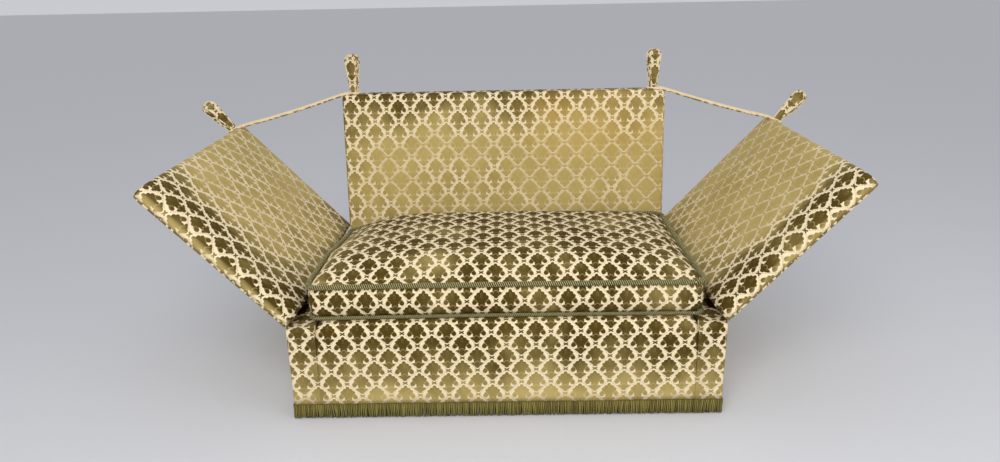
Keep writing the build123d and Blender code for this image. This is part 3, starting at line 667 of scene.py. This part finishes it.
def front_border():
    bm = block((-BORDER_X, FRONT, FLOOR_EDGE), (BORDER_X, FRONT + BORDER_DEPTH, DECK))
    round_edges(bm, LIP_CORNER, 6, lambda m: m.z > DECK - NEAR and abs(m.x) > BORDER_X - NEAR)
    round_edges(bm, LIP_BEND, 6, lambda m: m.y < FRONT + NEAR and m.z > DECK - LIP_CORNER - NEAR)
    slice_up(bm, 0, -BORDER_X, BORDER_X, LIP_BEND)
    slice_up(bm, 2, FLOOR_EDGE, DECK - LIP_BEND, LIP_BEND)
    swell(bm, lambda c: 0.0022 * smooth_noise(c, 0.13) * (1.0 if c.z < DECK - 0.004 else 0.3))
    sewn_reach = LEDGE_X - BORDER_X + 0.0004
    for vert in bm.verts:
        if abs(vert.co.x) > BORDER_X - 0.003:
            sewn = clamp((SLIT_FOOT + 0.02 - vert.co.z) / 0.03)
            open_slit = clamp((vert.co.z - 0.24) / 0.10) * SLIT_OPEN
            vert.co.x += math.copysign(sewn_reach * sewn - open_slit, vert.co.x)
    lay_cloth(bm, weave_front, along=MOTIF_HEIGHT, tall=BASE_ROWS)
    brush(bm, base_nap_and_sheen)
    return piece(
        "front_border", bm, "sofa", VELVET, ("front_border_cover", "front_border_pad")
    )


def weave_side(co, normal):
    """Side cloth: the front strip runs round the corner, the ledge runs back from the front."""
    if abs(normal.x) > 0.7:
        return math.copysign(HALF + co.y - FRONT, co.x), co.z
    return co.x, LEDGE - SIDE_BEND + unroll(co.y - FRONT, LEDGE - co.z, SIDE_BEND)


def side_section(side, name):
    bm = block((LEDGE_X, FRONT, FLOOR_EDGE), (HALF, REAR - 0.0023, LEDGE))
    round_edges(bm, SIDE_BEND, 4, lambda m: m.z > LEDGE - NEAR and m.y < REAR - 0.01)
    round_edges(
        bm, 0.0035, 2, lambda m: m.y < FRONT + NEAR and m.x > HALF - NEAR and m.z < LEDGE - 2 * SIDE_BEND
    )
    slice_up(bm, 1, FRONT, REAR, 0.040)
    slice_up(bm, 2, FLOOR_EDGE, LEDGE, 0.035)
    swell(bm, lambda c: 0.0015 * smooth_noise(c, 0.12))
    if side < 0:
        mirror_x(bm)
    lay_cloth(bm, weave_side, along=MOTIF_HEIGHT, tall=BASE_ROWS)
    brush(bm, lambda co: base_nap_and_sheen(co) + 0.10)
    return piece(name, bm, "sofa", VELVET, (f"{name.split('_')[0]}_side_cover",))


front_border()
side_section(1, "right_side_section")
side_section(-1, "left_side_section")

for label, x, y in (
    ("front_left", -1, FRONT + PIPE), ("front_right", 1, FRONT + PIPE),
    ("rear_left", -1, REAR - PIPE), ("rear_right", 1, REAR - PIPE),
):
    spot = x * (HALF - PIPE)
    tube(
        f"base_piping_{label}",
        even_steps([Vector((spot, y, FLOOR_EDGE - NEAR)), Vector((spot, y, PIPING_TOP))], 0.02),
        PIPE, "sofa", CREAM_PIPING, ("base_piping",),
    )


# Fringe
HEADER = (0.036, 0.056)
STRAND = 0.0022
STRAND_TOP = 0.0556
# Depth of each row of strands, and its painted shade
STRAND_ROWS = ((0.0024, 1.0), (0.0004, 0.4))


def fringe(name, run, place, stands_for):
    """Two rows of strands hanging from a narrow header, the rear one darker as painted shade; run is the
    half length.
    """
    draws = random.Random(len(name) * 7 + 3)
    bm = block((-run, 0.0, HEADER[0]), (run, STRAND, HEADER[1]))
    crest_and_shade = bm.verts.layers.float.new("crest_and_shade")
    for vert in bm.verts:
        vert[crest_and_shade] = 0.5
    count = round(2 * run / STRAND_PITCH)
    top = STRAND_TOP
    for row, (depth, shade) in enumerate(STRAND_ROWS):
        sway = 0.0
        for index in range(count - row):
            x = -run + (index + 0.5 + row / 2) * 2 * run / count
            length = top - FRINGE_END - 0.0070 * draws.random() ** 1.5
            made = bmesh.ops.create_cone(
                bm, cap_ends=True, segments=6, radius1=STRAND - 0.0001, radius2=STRAND, depth=length,
                matrix=Matrix.Translation((x, depth, top - length / 2)),
            )
            sway = 0.75 * sway + draws.gauss(0.0, 0.0017)
            lean = Vector((sway + draws.gauss(0.0, 0.0007), draws.uniform(-0.0006, 0.0012), 0.0))
            # Random tone for each strand, with painted shade at its root and on its side towards the sofa
            tone_and_shade = shade * draws.uniform(0.62, 1.0)
            for vert in made["verts"]:
                low = vert.co.z < top - length / 2
                vert[crest_and_shade] = tone_and_shade * (0.95 if low else 0.80) * (1.0 if vert.co.y > depth else 0.5)
                if low:
                    vert.co += lean
    bmesh.ops.transform(bm, matrix=place, verts=bm.verts)
    return piece(name, bm, "sofa", FRINGE, (stands_for,))


def turned(angle, shift):
    return Matrix.Translation(shift) @ Matrix.Rotation(math.radians(angle), 4, "Z")


fringe("fringe_front", HALF + FRINGE_END, turned(180, (0, FRONT, 0)), "front_fringe")
fringe("fringe_rear", HALF + FRINGE_END, turned(0, (0, REAR, 0)), "rear_fringe")
fringe("fringe_left", -FRONT, turned(90, (-HALF, 0, 0)), "left_fringe")
fringe("fringe_right", -FRONT, turned(-90, (HALF, 0, 0)), "right_fringe")


# Back
PAD_BEND = 0.020
BACK_MOTIF = (0.0075, 0.872)
BACK_PUFF = 0.007


def weave_back(co, normal):
    """Back cloth: up the raked face, over the top edge and round the sides."""
    face = back_face(co.z)
    v = (BACK_TOP - PAD_BEND) / math.cos(RAKE) + unroll(co.y - face, BACK_TOP - co.z, PAD_BEND)
    if abs(normal.x) > 0.7:
        return math.copysign(HALF_BACK + co.y - face, co.x), co.z / math.cos(RAKE)
    if co.z < BACK_TOP - PAD_BEND:
        v = co.z / math.cos(RAKE)
    return co.x, v


def back_nap_and_sheen(co):
    """How the pile lies, with painted sheen and shade: dark at the top, palest at the right, and duller
    towards the left and the seat.
    """
    below = (BACK_TOP - co.z) / 0.64
    pale = 0.22 + 0.83 * clamp(below / 0.35)
    pale -= 0.22 * clamp((below - 0.45) / 0.3) * (0.5 + 0.5 * smooth_noise(co, 0.3))
    pale -= 0.22 * clamp((-co.x - 0.30) / 0.35)
    pale += 0.25 * clamp((co.x - 0.05) / 0.3) * max(0.0, 1.0 - below / 0.5)
    return pale + 0.12 * smooth_noise(co, 0.2)


def back_warmth(co):
    """The patch near the top right where the gold has turned warmer."""
    reach = Vector(((co.x - 0.36) / 0.30, (co.z - 0.86) / 0.14)).length
    return clamp(1.3 - reach) * (0.55 + 0.6 * smooth_noise(co, 0.12))


def crown(x, half):
    """1 in the middle, falling to 0 at either end."""
    return max(0.0, 1.0 - abs(x / half) ** 4.0)


def inside_back():
    bm = block((-HALF_BACK, 0.0, LEDGE), (HALF_BACK, REAR - PIPE_SPACE, BACK_TOP))
    for vert in bm.verts:
        if vert.co.y < 0.1:
            vert.co.y = back_face(vert.co.z)
    round_edges(bm, PAD_BEND, 5, lambda m: m.y < REAR - PIPE_SPACE - NEAR and m.z > LEDGE + NEAR)
    slice_up(bm, 0, -HALF_BACK, HALF_BACK, CUT)
    slice_up(bm, 2, LEDGE, BACK_TOP, CUT)
    lay_cloth(bm, weave_back, across=BACK_MOTIF[0], along=BACK_MOTIF[1] / math.cos(RAKE))
    brush(bm, back_nap_and_sheen, back_warmth)
    middle = (LEDGE + BACK_TOP) / 2
    for vert in bm.verts:
        if vert.co.y < back_face(vert.co.z) + 0.004:
            puff = BACK_PUFF * crown(vert.co.x, HALF_BACK - 0.02) * crown(vert.co.z - middle, 0.30)
            vert.co.y -= puff + 0.0018 * smooth_noise(vert.co, 0.16)
    obj = piece("inside_back", bm, "sofa", VELVET, ("inside_back_cover", "back_pad"))
    return obj


def outside_back():
    """The rear cloth: a narrower upper part on a wider lower part."""
    side, top = HALF_BACK - PIPE_SPACE, BACK_TOP - PIPE_SPACE
    bm = block((-side, REAR - CLOTH, LEDGE), (side, REAR, top))
    round_edges(bm, PANEL_BEND, 3, lambda m: m.z > top - NEAR and abs(m.x) > side - 0.01)
    lower = block((-HALF + PIPE_SPACE, REAR - CLOTH, FLOOR_EDGE), (HALF - PIPE_SPACE, REAR, LEDGE))
    joined = bpy.data.meshes.new("lower")
    lower.to_mesh(joined)
    lower.free()
    bm.from_mesh(joined)
    slice_up(bm, 0, -HALF, HALF, 0.06)
    slice_up(bm, 2, FLOOR_EDGE, BACK_TOP, 0.06)
    lay_cloth(bm, lambda co, normal: (-co.x, co.z))
    brush(bm, lambda co: 0.45 + 0.25 * smooth_noise(co, 0.3))
    return piece("outside_back", bm, "sofa", VELVET, ("outside_back_cover",), smooth=False)


inside_back()
outside_back()
back_edge = bend_path(
    [
        (-HALF_BACK + PIPE, REAR - PIPE, LEDGE), (-HALF_BACK + PIPE, REAR - PIPE, BACK_TOP - PIPE),
        (HALF_BACK - PIPE, REAR - PIPE, BACK_TOP - PIPE), (HALF_BACK - PIPE, REAR - PIPE, LEDGE),
    ],
    BEND,
)
tube("back_edge_piping", back_edge, PIPE, "sofa", FLECKED_PIPING, ("back_piping",))


# Arms, in their own plane: depth, height up the arm, and outwards
ARM_LINE = ARM_OUTER - PIPE_SPACE
# The stuffed front edge: its bend, how far back it starts, what it takes off, its run and its face
ROLL = 0.0185
ROLL_DEEP = 0.095
ROLL_CUT = 0.034
ROLL_ARC = 0.034
ROLL_FACE = 0.0395
ARM_PUFF = 0.009
ARM_MIDDLE = 0.40
# How pale the pile looks, with painted sheen and shade: on average, how much darker at the front, over what
# depth, and the front face
ARM_PILE_AND_SHEEN = {"right": (1.12, 1.05, 0.15, 0.55), "left": (0.92, 0.78, 0.20, 0.70)}
PANEL_FACES = (-0.0114, -0.0094)
FINIAL_TURNS = {"right": 46, "left": 34}
ARM_TO_WORLD = Matrix.Translation(PIN) @ Matrix((
    (0.0, math.sin(DROP), math.cos(DROP)),
    (1.0, 0.0, 0.0),
    (0.0, math.cos(DROP), -math.sin(DROP)),
)).to_4x4()


def on_arm(point, side=1):
    """A point of the right arm's plane in the room, or its mirror image."""
    spot = ARM_TO_WORLD @ Vector(point)
    return Vector((side * spot.x, spot.y, spot.z))


def raise_arm(bm, side):
    """Carries a piece from the arm's own plane to its place on the right or the left."""
    bmesh.ops.transform(bm, matrix=ARM_TO_WORLD, verts=bm.verts)
    if side < 0:
        bmesh.ops.scale(bm, vec=(-1.0, 1.0, 1.0), verts=bm.verts)
    if (ARM_TO_WORLD.to_3x3().determinant() < 0) != (side < 0):
        bmesh.ops.reverse_faces(bm, faces=bm.faces)


def weave_arm(co, normal):
    """Arm cloth: up the inner face, over the top and round the front and rear edges."""
    depth_in = co.z - ARM_INNER
    u, v = co.x, co.y
    if co.x < ROLL and normal.z < 0.5:
        share = math.acos(max(0.0, 1.0 - max(0.0, co.x) / ROLL)) / (math.pi / 2)
        u = ROLL - ROLL_ARC * (1.0 - share) - max(0.0, depth_in - ROLL_FACE)
    elif normal.x > 0.7:
        u = DEPTH + depth_in
    if normal.y > 0.7:
        v = ARM_TOP + depth_in
    return u, v


def arm_nap_and_sheen(co, mean, dark, reach, face):
    """How the pile lies, with painted sheen and shade: pale on the front face, dark just behind it, darker
    beside the seat as painted shade, and a mean over the rest.
    """
    pale = mean - dark * clamp(1.50 - co.x / reach)
    pale -= 0.45 * max(0.0, 1.0 - co.y / 0.24)
    front_face = max(0.0, 1.0 - co.x / 0.010)
    pale += (face - pale) * front_face
    return pale + 0.20 * smooth_noise(co, 0.22)


def roll_front(co):
    """Rounds the front of the arm off towards its outer side, as the stuffed edge is."""
    if co.x < ROLL_DEEP:
        ahead = 1.0 - max(0.0, co.x) / ROLL_DEEP
        outer_share = (co.z - ARM_INNER) / (ARM_LINE - ARM_INNER)
        co.z += ROLL_CUT * (1.0 - math.sqrt(1.0 - ahead * ahead)) * (1.0 - outer_share)


def arm_cover(side, word):
    """The inner cloth with its padding, puffed out over the middle of the arm."""
    bm = block((0.0, ARM_LOW, ARM_INNER), (DEPTH, ARM_TOP, ARM_LINE))
    round_edges(bm, PAD_BEND, 5, lambda m: m.y > ARM_TOP - NEAR and not NEAR <= m.x <= DEPTH - NEAR)
    round_edges(bm, ROLL, 5, lambda m: m.z < ARM_INNER + NEAR and m.y > ARM_LOW + NEAR)
    slice_up(bm, 0, 0.0, DEPTH, CUT)
    slice_up(bm, 0, 0.0, 0.10, 0.010)
    slice_up(bm, 1, ARM_LOW, ARM_TOP, CUT)
    for vert in bm.verts:
        roll_front(vert.co)
    lay_cloth(bm, weave_arm, across=0.02 if side > 0 else 0.05, along=0.03)
    brush(bm, lambda co: arm_nap_and_sheen(co, *ARM_PILE_AND_SHEEN[word]))
    half = SEAT_DEPTH / 2
    for vert in bm.verts:
        into = vert.co.z - ARM_INNER
        if into < 0.004 or (vert.co.x < ROLL_DEEP and into < 0.02):
            puff = ARM_PUFF * crown(vert.co.x - half, half) * crown(vert.co.y - ARM_MIDDLE, 0.22)
            flat = clamp((SEAT_DEPTH - vert.co.x) / 0.04)
            vert.co.z -= puff * flat + 0.0025 * flat * smooth_noise(vert.co, 0.15)
    raise_arm(bm, side)
    obj = piece(
        f"{word}_arm_cushioning", bm, f"{word}_arm", VELVET,
        (f"{word}_arm_inside_cover", f"{word}_arm_pad"),
    )
    return obj


def arm_back_panel(side, word):
    """The flat cloth on the outside of the arm, inside its piping."""
    rear, top = DEPTH - PIPE_SPACE, ARM_TOP - PIPE_SPACE
    bm = block((PIPE_SPACE, ARM_LOW, PANEL_FACES[0]), (rear, top, PANEL_FACES[1]))
    round_edges(bm, PANEL_BEND, 3, lambda m: m.y > top - NEAR and not 0.01 <= m.x <= DEPTH - 0.01)
    slice_up(bm, 0, 0.0, DEPTH, 0.06)
    slice_up(bm, 1, ARM_LOW, ARM_TOP, 0.06)
    lay_cloth(bm, lambda co, normal: (-co.x, co.y))
    brush(bm, lambda co: 0.4 + 0.25 * smooth_noise(co, 0.3))
    raise_arm(bm, side)
    return piece(
        f"{word}_arm_back_panel", bm, f"{word}_arm", VELVET,
        (f"{word}_arm_outside_cover",), smooth=False,
    )


HINGE_LINE = 0.7366
STRIP_HALF = 0.0006


def hinge_cloth(side, word):
    """Strip of the side cloth that runs on from the ledge to the outside of the arm."""
    top = on_arm((0.0, ARM_LOW + 0.003, sum(PANEL_FACES) / 2))
    low = (HINGE_LINE - STRIP_HALF, FRONT + 0.006, LEDGE - 0.0015)
    bm = block(low, (HINGE_LINE + STRIP_HALF, REAR - 0.012, top.z))
    for vert in bm.verts:
        if vert.co.z > LEDGE:
            vert.co.x += top.x - HINGE_LINE
    slice_up(bm, 1, FRONT, REAR, 0.040)
    if side < 0:
        mirror_x(bm)
    lay_cloth(bm, lambda co, normal: (co.y, co.z))
    brush(bm, lambda co: 0.3)
    obj = piece(f"{word}_hinge_cloth", bm, None, VELVET, smooth=False)
    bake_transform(obj)


PADDLE_TOP = 0.029
PADDLE_FOOT = 0.0125
PADDLE_THICK = 0.0112
PADDLE_TAPER = 0.0024
PADDLE_PIPE = 0.0033


def paddle_path(inset, foot=0.003):
    """Edge of a finial from one foot, over its round top, to the other foot."""
    radius, centre, base = PADDLE_TOP - inset, FINIAL_TALL - PADDLE_TOP, PADDLE_FOOT
    tilt = math.atan2(centre, -base) - math.asin(PADDLE_TOP / math.hypot(base, centre))
    shoulder = (radius * math.sin(tilt), centre - radius * math.cos(tilt))
    slope = math.cos(tilt) / math.sin(tilt)
    foot_x = shoulder[0] - (shoulder[1] - foot) * slope
    start = math.atan2(shoulder[1] - centre, shoulder[0])
    steps = 14
    arc = [
        Vector((radius * math.cos(turn), centre + radius * math.sin(turn), 0.0))
        for turn in (start + (math.pi - 2 * start) * step / steps for step in range(steps + 1))
    ]
    return [Vector((foot_x, foot, 0.0)), *arc, Vector((-foot_x, foot, 0.0))]


def finial(name, place, body, nodes, piping_node, turn):
    """A boxed paddle, turned a little on its dowel, with piping round both faces."""
    flip = place.determinant() < 0
    place = place @ Matrix.Rotation(math.radians(turn), 4, "Y")
    bm = bmesh.new()
    for point in paddle_path(0.0016, 0.0):
        thick = PADDLE_THICK + PADDLE_TAPER * point.y / FINIAL_TALL
        for half in (-thick, thick):
            bm.verts.new((point.x, point.y, half))
    bmesh.ops.convex_hull(bm, input=bm.verts)
    bmesh.ops.dissolve_limit(bm, angle_limit=0.02, verts=bm.verts, edges=bm.edges)
    bmesh.ops.recalc_face_normals(bm, faces=bm.faces)
    slice_up(bm, 1, 0.0, FINIAL_TALL, 0.012)
    shift = (sum(ord(letter) for letter in name) % 7) * 0.013
    lay_cloth(bm, lambda co, n: (co.x if abs(n.z) > 0.5 else co.z + 0.03, co.y + shift))
    brush(bm, lambda co: 0.38 + 0.3 * smooth_noise(co * 3 + Vector((shift * 90, 0, 0)), 0.1))
    bmesh.ops.transform(bm, matrix=place, verts=bm.verts)
    if flip:
        bmesh.ops.reverse_faces(bm, faces=bm.faces)
    piece(f"{name}_cover", bm, body, VELVET, nodes, smooth=False)
    for word, face in (("front", 1), ("rear", -1)):
        line = []
        for point in paddle_path(0.0028):
            thick = PADDLE_THICK - 0.0014 + PADDLE_TAPER * point.y / FINIAL_TALL
            line.append(place @ (point + Vector((0, 0, face * thick))))
        tube(f"{name}_{word}_piping", line, PADDLE_PIPE, body, CREAM_PIPING, (piping_node,))


for side, word in ((1, "right"), (-1, "left")):
    arm_cover(side, word)
    arm_back_panel(side, word)
    hinge_cloth(side, word)
    line_out = ARM_OUTER - PIPE
    corners = [
        (PIPE, ARM_LOW, line_out), (PIPE, ARM_TOP - PIPE, line_out),
        (DEPTH - PIPE, ARM_TOP - PIPE, line_out), (DEPTH - PIPE, ARM_LOW, line_out),
    ]
    edge_line = bend_path([on_arm(corner, side) for corner in corners], BEND)
    tube(
        f"{word}_arm_edge_piping", edge_line, PIPE, f"{word}_arm", FLECKED_PIPING,
        (f"{word}_arm_piping",),
    )
    out_of_plane = (ARM_LINE + ARM_INNER + PAD_BEND) / 2
    foot = ARM_TO_WORLD @ Matrix.Translation((FINIAL_Y - FRONT, ARM_TOP, out_of_plane))
    mirrored = Matrix.Scale(-1, 4, (1, 0, 0)) if side < 0 else Matrix.Identity(4)
    finial(
        f"{word}_arm_finial", mirrored @ foot, f"{word}_arm",
        (f"{word}_arm_finial_cover", f"{word}_arm_finial_core"), f"{word}_arm_finial_piping",
        FINIAL_TURNS[word],
    )
    upright = Matrix((
        (1.0, 0.0, 0.0, side * FINIAL_X),
        (0.0, 0.0, -1.0, FINIAL_Y),
        (0.0, 1.0, 0.0, BACK_TOP),
        (0.0, 0.0, 0.0, 1.0),
    ))
    finial(
        f"{word}_back_finial", upright, "sofa", ("back_finial_covers", "back_finial_cores"),
        "back_finial_piping", side * 20,
    )


# Seat cushion
CUSHION_MIDDLE = (CUSHION_FRONT + CUSHION_REAR) / 2
CUSHION_HALF_Y = (CUSHION_REAR - CUSHION_FRONT) / 2
CUSHION_CORNER = 0.038
SEAM_DRAW = 0.0115
FOOT_DRAW = 0.024
WAIST_DRAW = 0.007
BORDER_LEVELS = (LOW_CORD, 0.384, 0.402, 0.421, 0.440, 0.459)
CORD_STRANDS = 3
CORD_RELIEF = 0.40
DOME_HALF_Y = 0.389


def crown_height(x, y):
    """Rise of the filled top over its seam."""
    sx, sy = min(1.0, abs(x) / CUSHION_HALF_X), min(1.0, abs(y) / DOME_HALF_Y)
    dome = ((1 - sx ** 3.0) ** 0.60) * ((1 - sy ** 3.0) ** 0.60)
    fall = 0.052 - 0.020 * clamp((y + 0.05) / 0.32)
    return dome * (fall + 0.006 * smooth_noise((x, y, 0.0), 0.22))


def slump(x, y, z):
    """How far the filling has sunk towards the rear corners, most on the left."""
    back = clamp((y + 0.10) / 0.42)
    left = clamp((-x - 0.24) / 0.40) ** 2
    right = clamp((x - 0.30) / 0.32)
    share = clamp((z - LOW_CORD) / (TOP_CORD - LOW_CORD))
    return share * back * (0.060 * left + 0.010 * right)


def cushion_plan(x, y):
    """Draws the sides in between the corners."""
    sx, sy = x / CUSHION_HALF_X, y / DOME_HALF_Y
    return x - WAIST_DRAW * sx * (1 - sy * sy), y - WAIST_DRAW * sy * (1 - sx * sx)


def seat_cushion():
    """A boxed cushion, shaped, drawn in at its seams and filled."""
    half_x, half_y = CUSHION_HALF_X, CUSHION_HALF_Y
    bm = block((-half_x, -half_y, CUSHION_LOW), (half_x, half_y, TOP_CORD))
    round_edges(bm, CUSHION_CORNER, 7, lambda m: CUSHION_LOW + NEAR < m.z < TOP_CORD - NEAR)
    step = 0.017
    slice_up(bm, 0, -half_x, half_x, step)
    slice_up(bm, 1, -half_y, half_y, step)
    for level in BORDER_LEVELS:
        slice_at(bm, 2, level)
    bmesh.ops.remove_doubles(bm, verts=bm.verts, dist=0.0008)

    def weave_cushion(co, normal):
        if normal.z > 0.5:
            return co.x, TOP_CORD + (co.y + half_y)
        if normal.z < -0.5:
            return co.x, co.y
        if abs(normal.y) >= abs(normal.x):
            return co.x * (1 if normal.y < 0 else -1) + CUSHION_REPEAT / 2, co.z
        return co.y * (1 if normal.x > 0 else -1), co.z

    lay_cloth(bm, weave_cushion, across=0.016, along=0.371, wide=CUSHION_REPEAT)

    # Pile on the cushion with painted sheen and shade: dark on the sides and the top, paler towards the
    # left front corner.
    def cushion_nap_and_sheen(co):
        if co.z < TOP_CORD - NEAR:
            return 0.12 + 0.25 * smooth_noise(co, 0.2)
        corner = clamp((-co.x - 0.42) / 0.2) * clamp((0.10 - co.y) / 0.3)
        return 0.10 + 0.50 * corner + 0.30 * smooth_noise(co, 0.18)

    brush(bm, cushion_nap_and_sheen)
    tiny = 1e-5
    pinned = []
    for vert in bm.verts:
        x, y = cushion_plan(vert.co.x, vert.co.y)
        z = vert.co.z
        outer = any(abs(f.normal.z) < 0.5 for f in vert.link_faces)
        top = abs(z - TOP_CORD) < tiny
        bottom = z < LOW_CORD - tiny
        if outer and (top or abs(z - LOW_CORD) < tiny):
            scale = SEAM_DRAW
            pinned.append(vert.index)
        elif outer and bottom:
            scale = FOOT_DRAW
            pinned.append(vert.index)
        else:
            scale = 0.0
            if bottom:
                pinned.append(vert.index)
        x -= scale * x / half_x
        y -= scale * y / half_y
        if top and not outer:
            z += crown_height(x, y)
        vert.co = (x, y + CUSHION_MIDDLE, z - slump(x, y, z))
    bm.verts.index_update()
    chosen = [v.index for v in bm.verts if v.index in set(pinned)]
    obj = piece(
        "seat_cushion_body", bm, "seat_cushion", VELVET,
        ("seat_cushion_cover", "seat_cushion_filling"),
    )
    fill_with_pressure(obj, chosen, pressure=3.0, slack=-0.015, cap=0.022)
    soften(obj)
    return obj


def fill_with_pressure(obj, pinned, pressure, slack, cap):
    """Blows the cover out from inside, held along its seams, and keeps the settled shape."""
    group = obj.vertex_groups.new(name="seams")
    group.add(pinned, 1.0, "REPLACE")
    start = [vert.co.copy() for vert in obj.data.vertices]
    cloth = obj.modifiers.new("filling", "CLOTH")
    settings = cloth.settings
    settings.vertex_group_mass = "seams"
    settings.use_pressure = True
    settings.uniform_pressure_force = pressure
    settings.quality = 6
    settings.mass = 0.35
    settings.tension_stiffness = 20
    settings.compression_stiffness = 12
    settings.shear_stiffness = 8
    settings.bending_stiffness = 1.2
    settings.shrink_min = slack
    settings.effector_weights.gravity = 0.0
    cloth.collision_settings.use_collision = False
    cloth.point_cache.frame_start = 1
    cloth.point_cache.frame_end = 20
    for number in range(1, 21):
        scene.frame_set(number)
    settled = obj.evaluated_get(bpy.context.evaluated_depsgraph_get())
    ends = [vert.co.copy() for vert in settled.data.vertices]
    obj.modifiers.remove(cloth)
    for vert, before, after in zip(obj.data.vertices, start, ends):
        move = after - before
        if move.length > cap:
            move *= cap / move.length
        vert.co = before + move
    scene.frame_set(1)


seat_cushion()


def cushion_seam(draw, step):
    """The seam's closed line, drawn in from the outline."""
    half_x, half_y = CUSHION_HALF_X - draw, CUSHION_HALF_Y - draw
    corners = [(half_x, -half_y, 0), (half_x, half_y, 0), (-half_x, half_y, 0), (-half_x, -half_y, 0)]
    even = even_steps(bend_path(corners, CUSHION_CORNER - NEAR, 10, True), step, True)
    shift = Vector((0, CUSHION_MIDDLE, 0))
    return [Vector((*cushion_plan(p.x, p.y), 0.0)) + shift for p in even]


def cushion_cord(name, height, radius, draw, pitch, node):
    """A twisted cord sewn along one seam, which sinks with the filling."""
    step = 0.0016
    points = [
        point + Vector((0, 0, height - slump(point.x, point.y - CUSHION_MIDDLE, height)))
        for point in cushion_seam(draw, step)
    ]
    mesh = tube_mesh(name, points, radius, True, 6)
    twist(mesh, points, pitch, CORD_STRANDS, CORD_RELIEF, step)
    return dress(name, mesh, "seat_cushion", SEAM_CORD, (node,))


cushion_cord("top_seam_cord", TOP_CORD, 0.0092, 0.0008, 0.0215, "cushion_top_cord")
cushion_cord("bottom_seam_cord", LOW_CORD, 0.0068, 0.0005, 0.0190, "cushion_bottom_cord")


# Platform and underside
SEWING_GAP = 0.0003
PLATFORM_LOW = 0.3239
CLOTH_LEVELS = (0.0506, 0.0516)
UNDER_X = 0.7377
UNDER_Y = (FRONT + 0.0223, REAR - 0.0023)
POST_INNER = (0.6811, 0.4291)


def platform():
    """The plain cloth and its padding under the seat cushion."""
    half = LEDGE_X - SEWING_GAP
    low = (-half, FRONT + BORDER_DEPTH + SEWING_GAP, PLATFORM_LOW)
    bm = block(low, (half, back_face(LEDGE) - SEWING_GAP, DECK))
    round_edges(bm, SIDE_BEND, 3, lambda m: m.z > DECK - NEAR)
    obj = piece("platform", bm, "sofa", PLATFORM, ("platform_cloth", "platform_pad"), smooth=False)
    return obj


def underside():
    """Black cloth tacked under the base, cut out round the posts."""
    bm = block((-UNDER_X, UNDER_Y[0], CLOTH_LEVELS[0]), (UNDER_X, UNDER_Y[1], CLOTH_LEVELS[1]))
    for axis, reach in enumerate(POST_INNER):
        slice_at(bm, axis, -reach)
        slice_at(bm, axis, reach)
    corner = []
    for face in bm.faces:
        middle = face.calc_center_median()
        if all(abs(middle[axis]) > reach + 0.0001 for axis, reach in enumerate(POST_INNER)):
            corner.append(face)
    bmesh.ops.delete(bm, geom=corner, context="FACES")
    bmesh.ops.holes_fill(bm, edges=[e for e in bm.edges if e.is_boundary], sides=4)
    obj = piece("underside_cloth", bm, "sofa", LINING, ("dust_cover",), smooth=False)
    return obj


platform()
underside()


# Rope loops
ROPE_HALF = 0.0226
ROPE_RADIUS = 0.0056
ROPE_END = 0.0005
STRAND_ROUTE = (
    (0.6073, 0.9868), (0.6637, 0.9865), (0.8065, 0.9396), (1.0003, 0.8836),
    (1.1439, 0.8505), (1.1830, 0.8290),
)


def rope(side, word):
    """A cord round both finials, from the inner side of the back finial and back to it."""
    y, (x_in, z_back) = FINIAL_Y, STRAND_ROUTE[0]
    route = [(x_in, y + ROPE_END, z_back)]
    route += [(x, y + ROPE_HALF, z) for x, z in STRAND_ROUTE]
    route += [(x, y - ROPE_HALF, z) for x, z in reversed(STRAND_ROUTE)]
    route += [(x_in, y - ROPE_END, z_back)]
    route = [Vector((side * x, yy, z)) for x, yy, z in route]
    data = bpy.data.curves.new(f"{word}_rope_line", "CURVE")
    data.dimensions = "3D"
    data.resolution_u = 12
    spline = data.splines.new("NURBS")
    spline.points.add(len(route) - 1)
    for spot, point in zip(spline.points, route):
        spot.co = (*point, 1.0)
    spline.order_u = 3
    spline.use_endpoint_u = True
    path = [vert.co.copy() for vert in mesh_of_curve(data).vertices]
    obj = tube(f"{word}_finial_rope", path, ROPE_RADIUS, None, ROPE, (f"{word}_rope",), sides=3)
    # Painted shade: the dark flecks go only on the side that faces down
    under = obj.data.attributes.new("under", "FLOAT", "POINT")
    for index, normal in enumerate(obj.data.vertex_normals):
        under.data[index].value = clamp(0.8 - 1.7 * normal.vector.z)
    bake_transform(obj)
    return obj


rope(1, "right")
rope(-1, "left")


# Floor and light
WORLD_COLOUR = (0.92, 0.94, 1.0, 1.0)
WORLD_STRENGTH = 0.63
LAMP_AIM = Vector((0.0, 0.0, 0.5))
LAMPS = (
    ("key_light", Vector((-0.5, -3.3, 2.9)), 82.0, 2.2),
    ("fill_light", Vector((2.6, -2.2, 2.2)), 20.0, 2.0),
)


def studio():
    """A pale floor, an even sky and two soft lamps."""
    bm = bmesh.new()
    bmesh.ops.create_grid(bm, x_segments=1, y_segments=1, size=30.0)
    mesh = bpy.data.meshes.new("floor")
    bm.to_mesh(mesh)
    bm.free()
    f = Finish("pale_floor", roughness=0.9)
    mesh.materials.append(f.wear(paint(214, 214, 216)))
    floor = bpy.data.objects.new("floor", mesh)
    scene.collection.objects.link(floor)
    world = bpy.data.worlds.new("studio")
    scene.world = world
    world.use_nodes = True
    sky = world.node_tree.nodes["Background"].inputs
    sky["Color"].default_value = WORLD_COLOUR
    sky["Strength"].default_value = WORLD_STRENGTH
    for name, place, energy, size in LAMPS:
        data = bpy.data.lights.new(name, "AREA")
        data.energy = energy
        data.size = size
        lamp = bpy.data.objects.new(name, data)
        lamp.location = place
        lamp.rotation_euler = (LAMP_AIM - place).to_track_quat("-Z", "Y").to_euler()
        scene.collection.objects.link(lamp)


studio()
scene.view_settings.view_transform = "Standard"
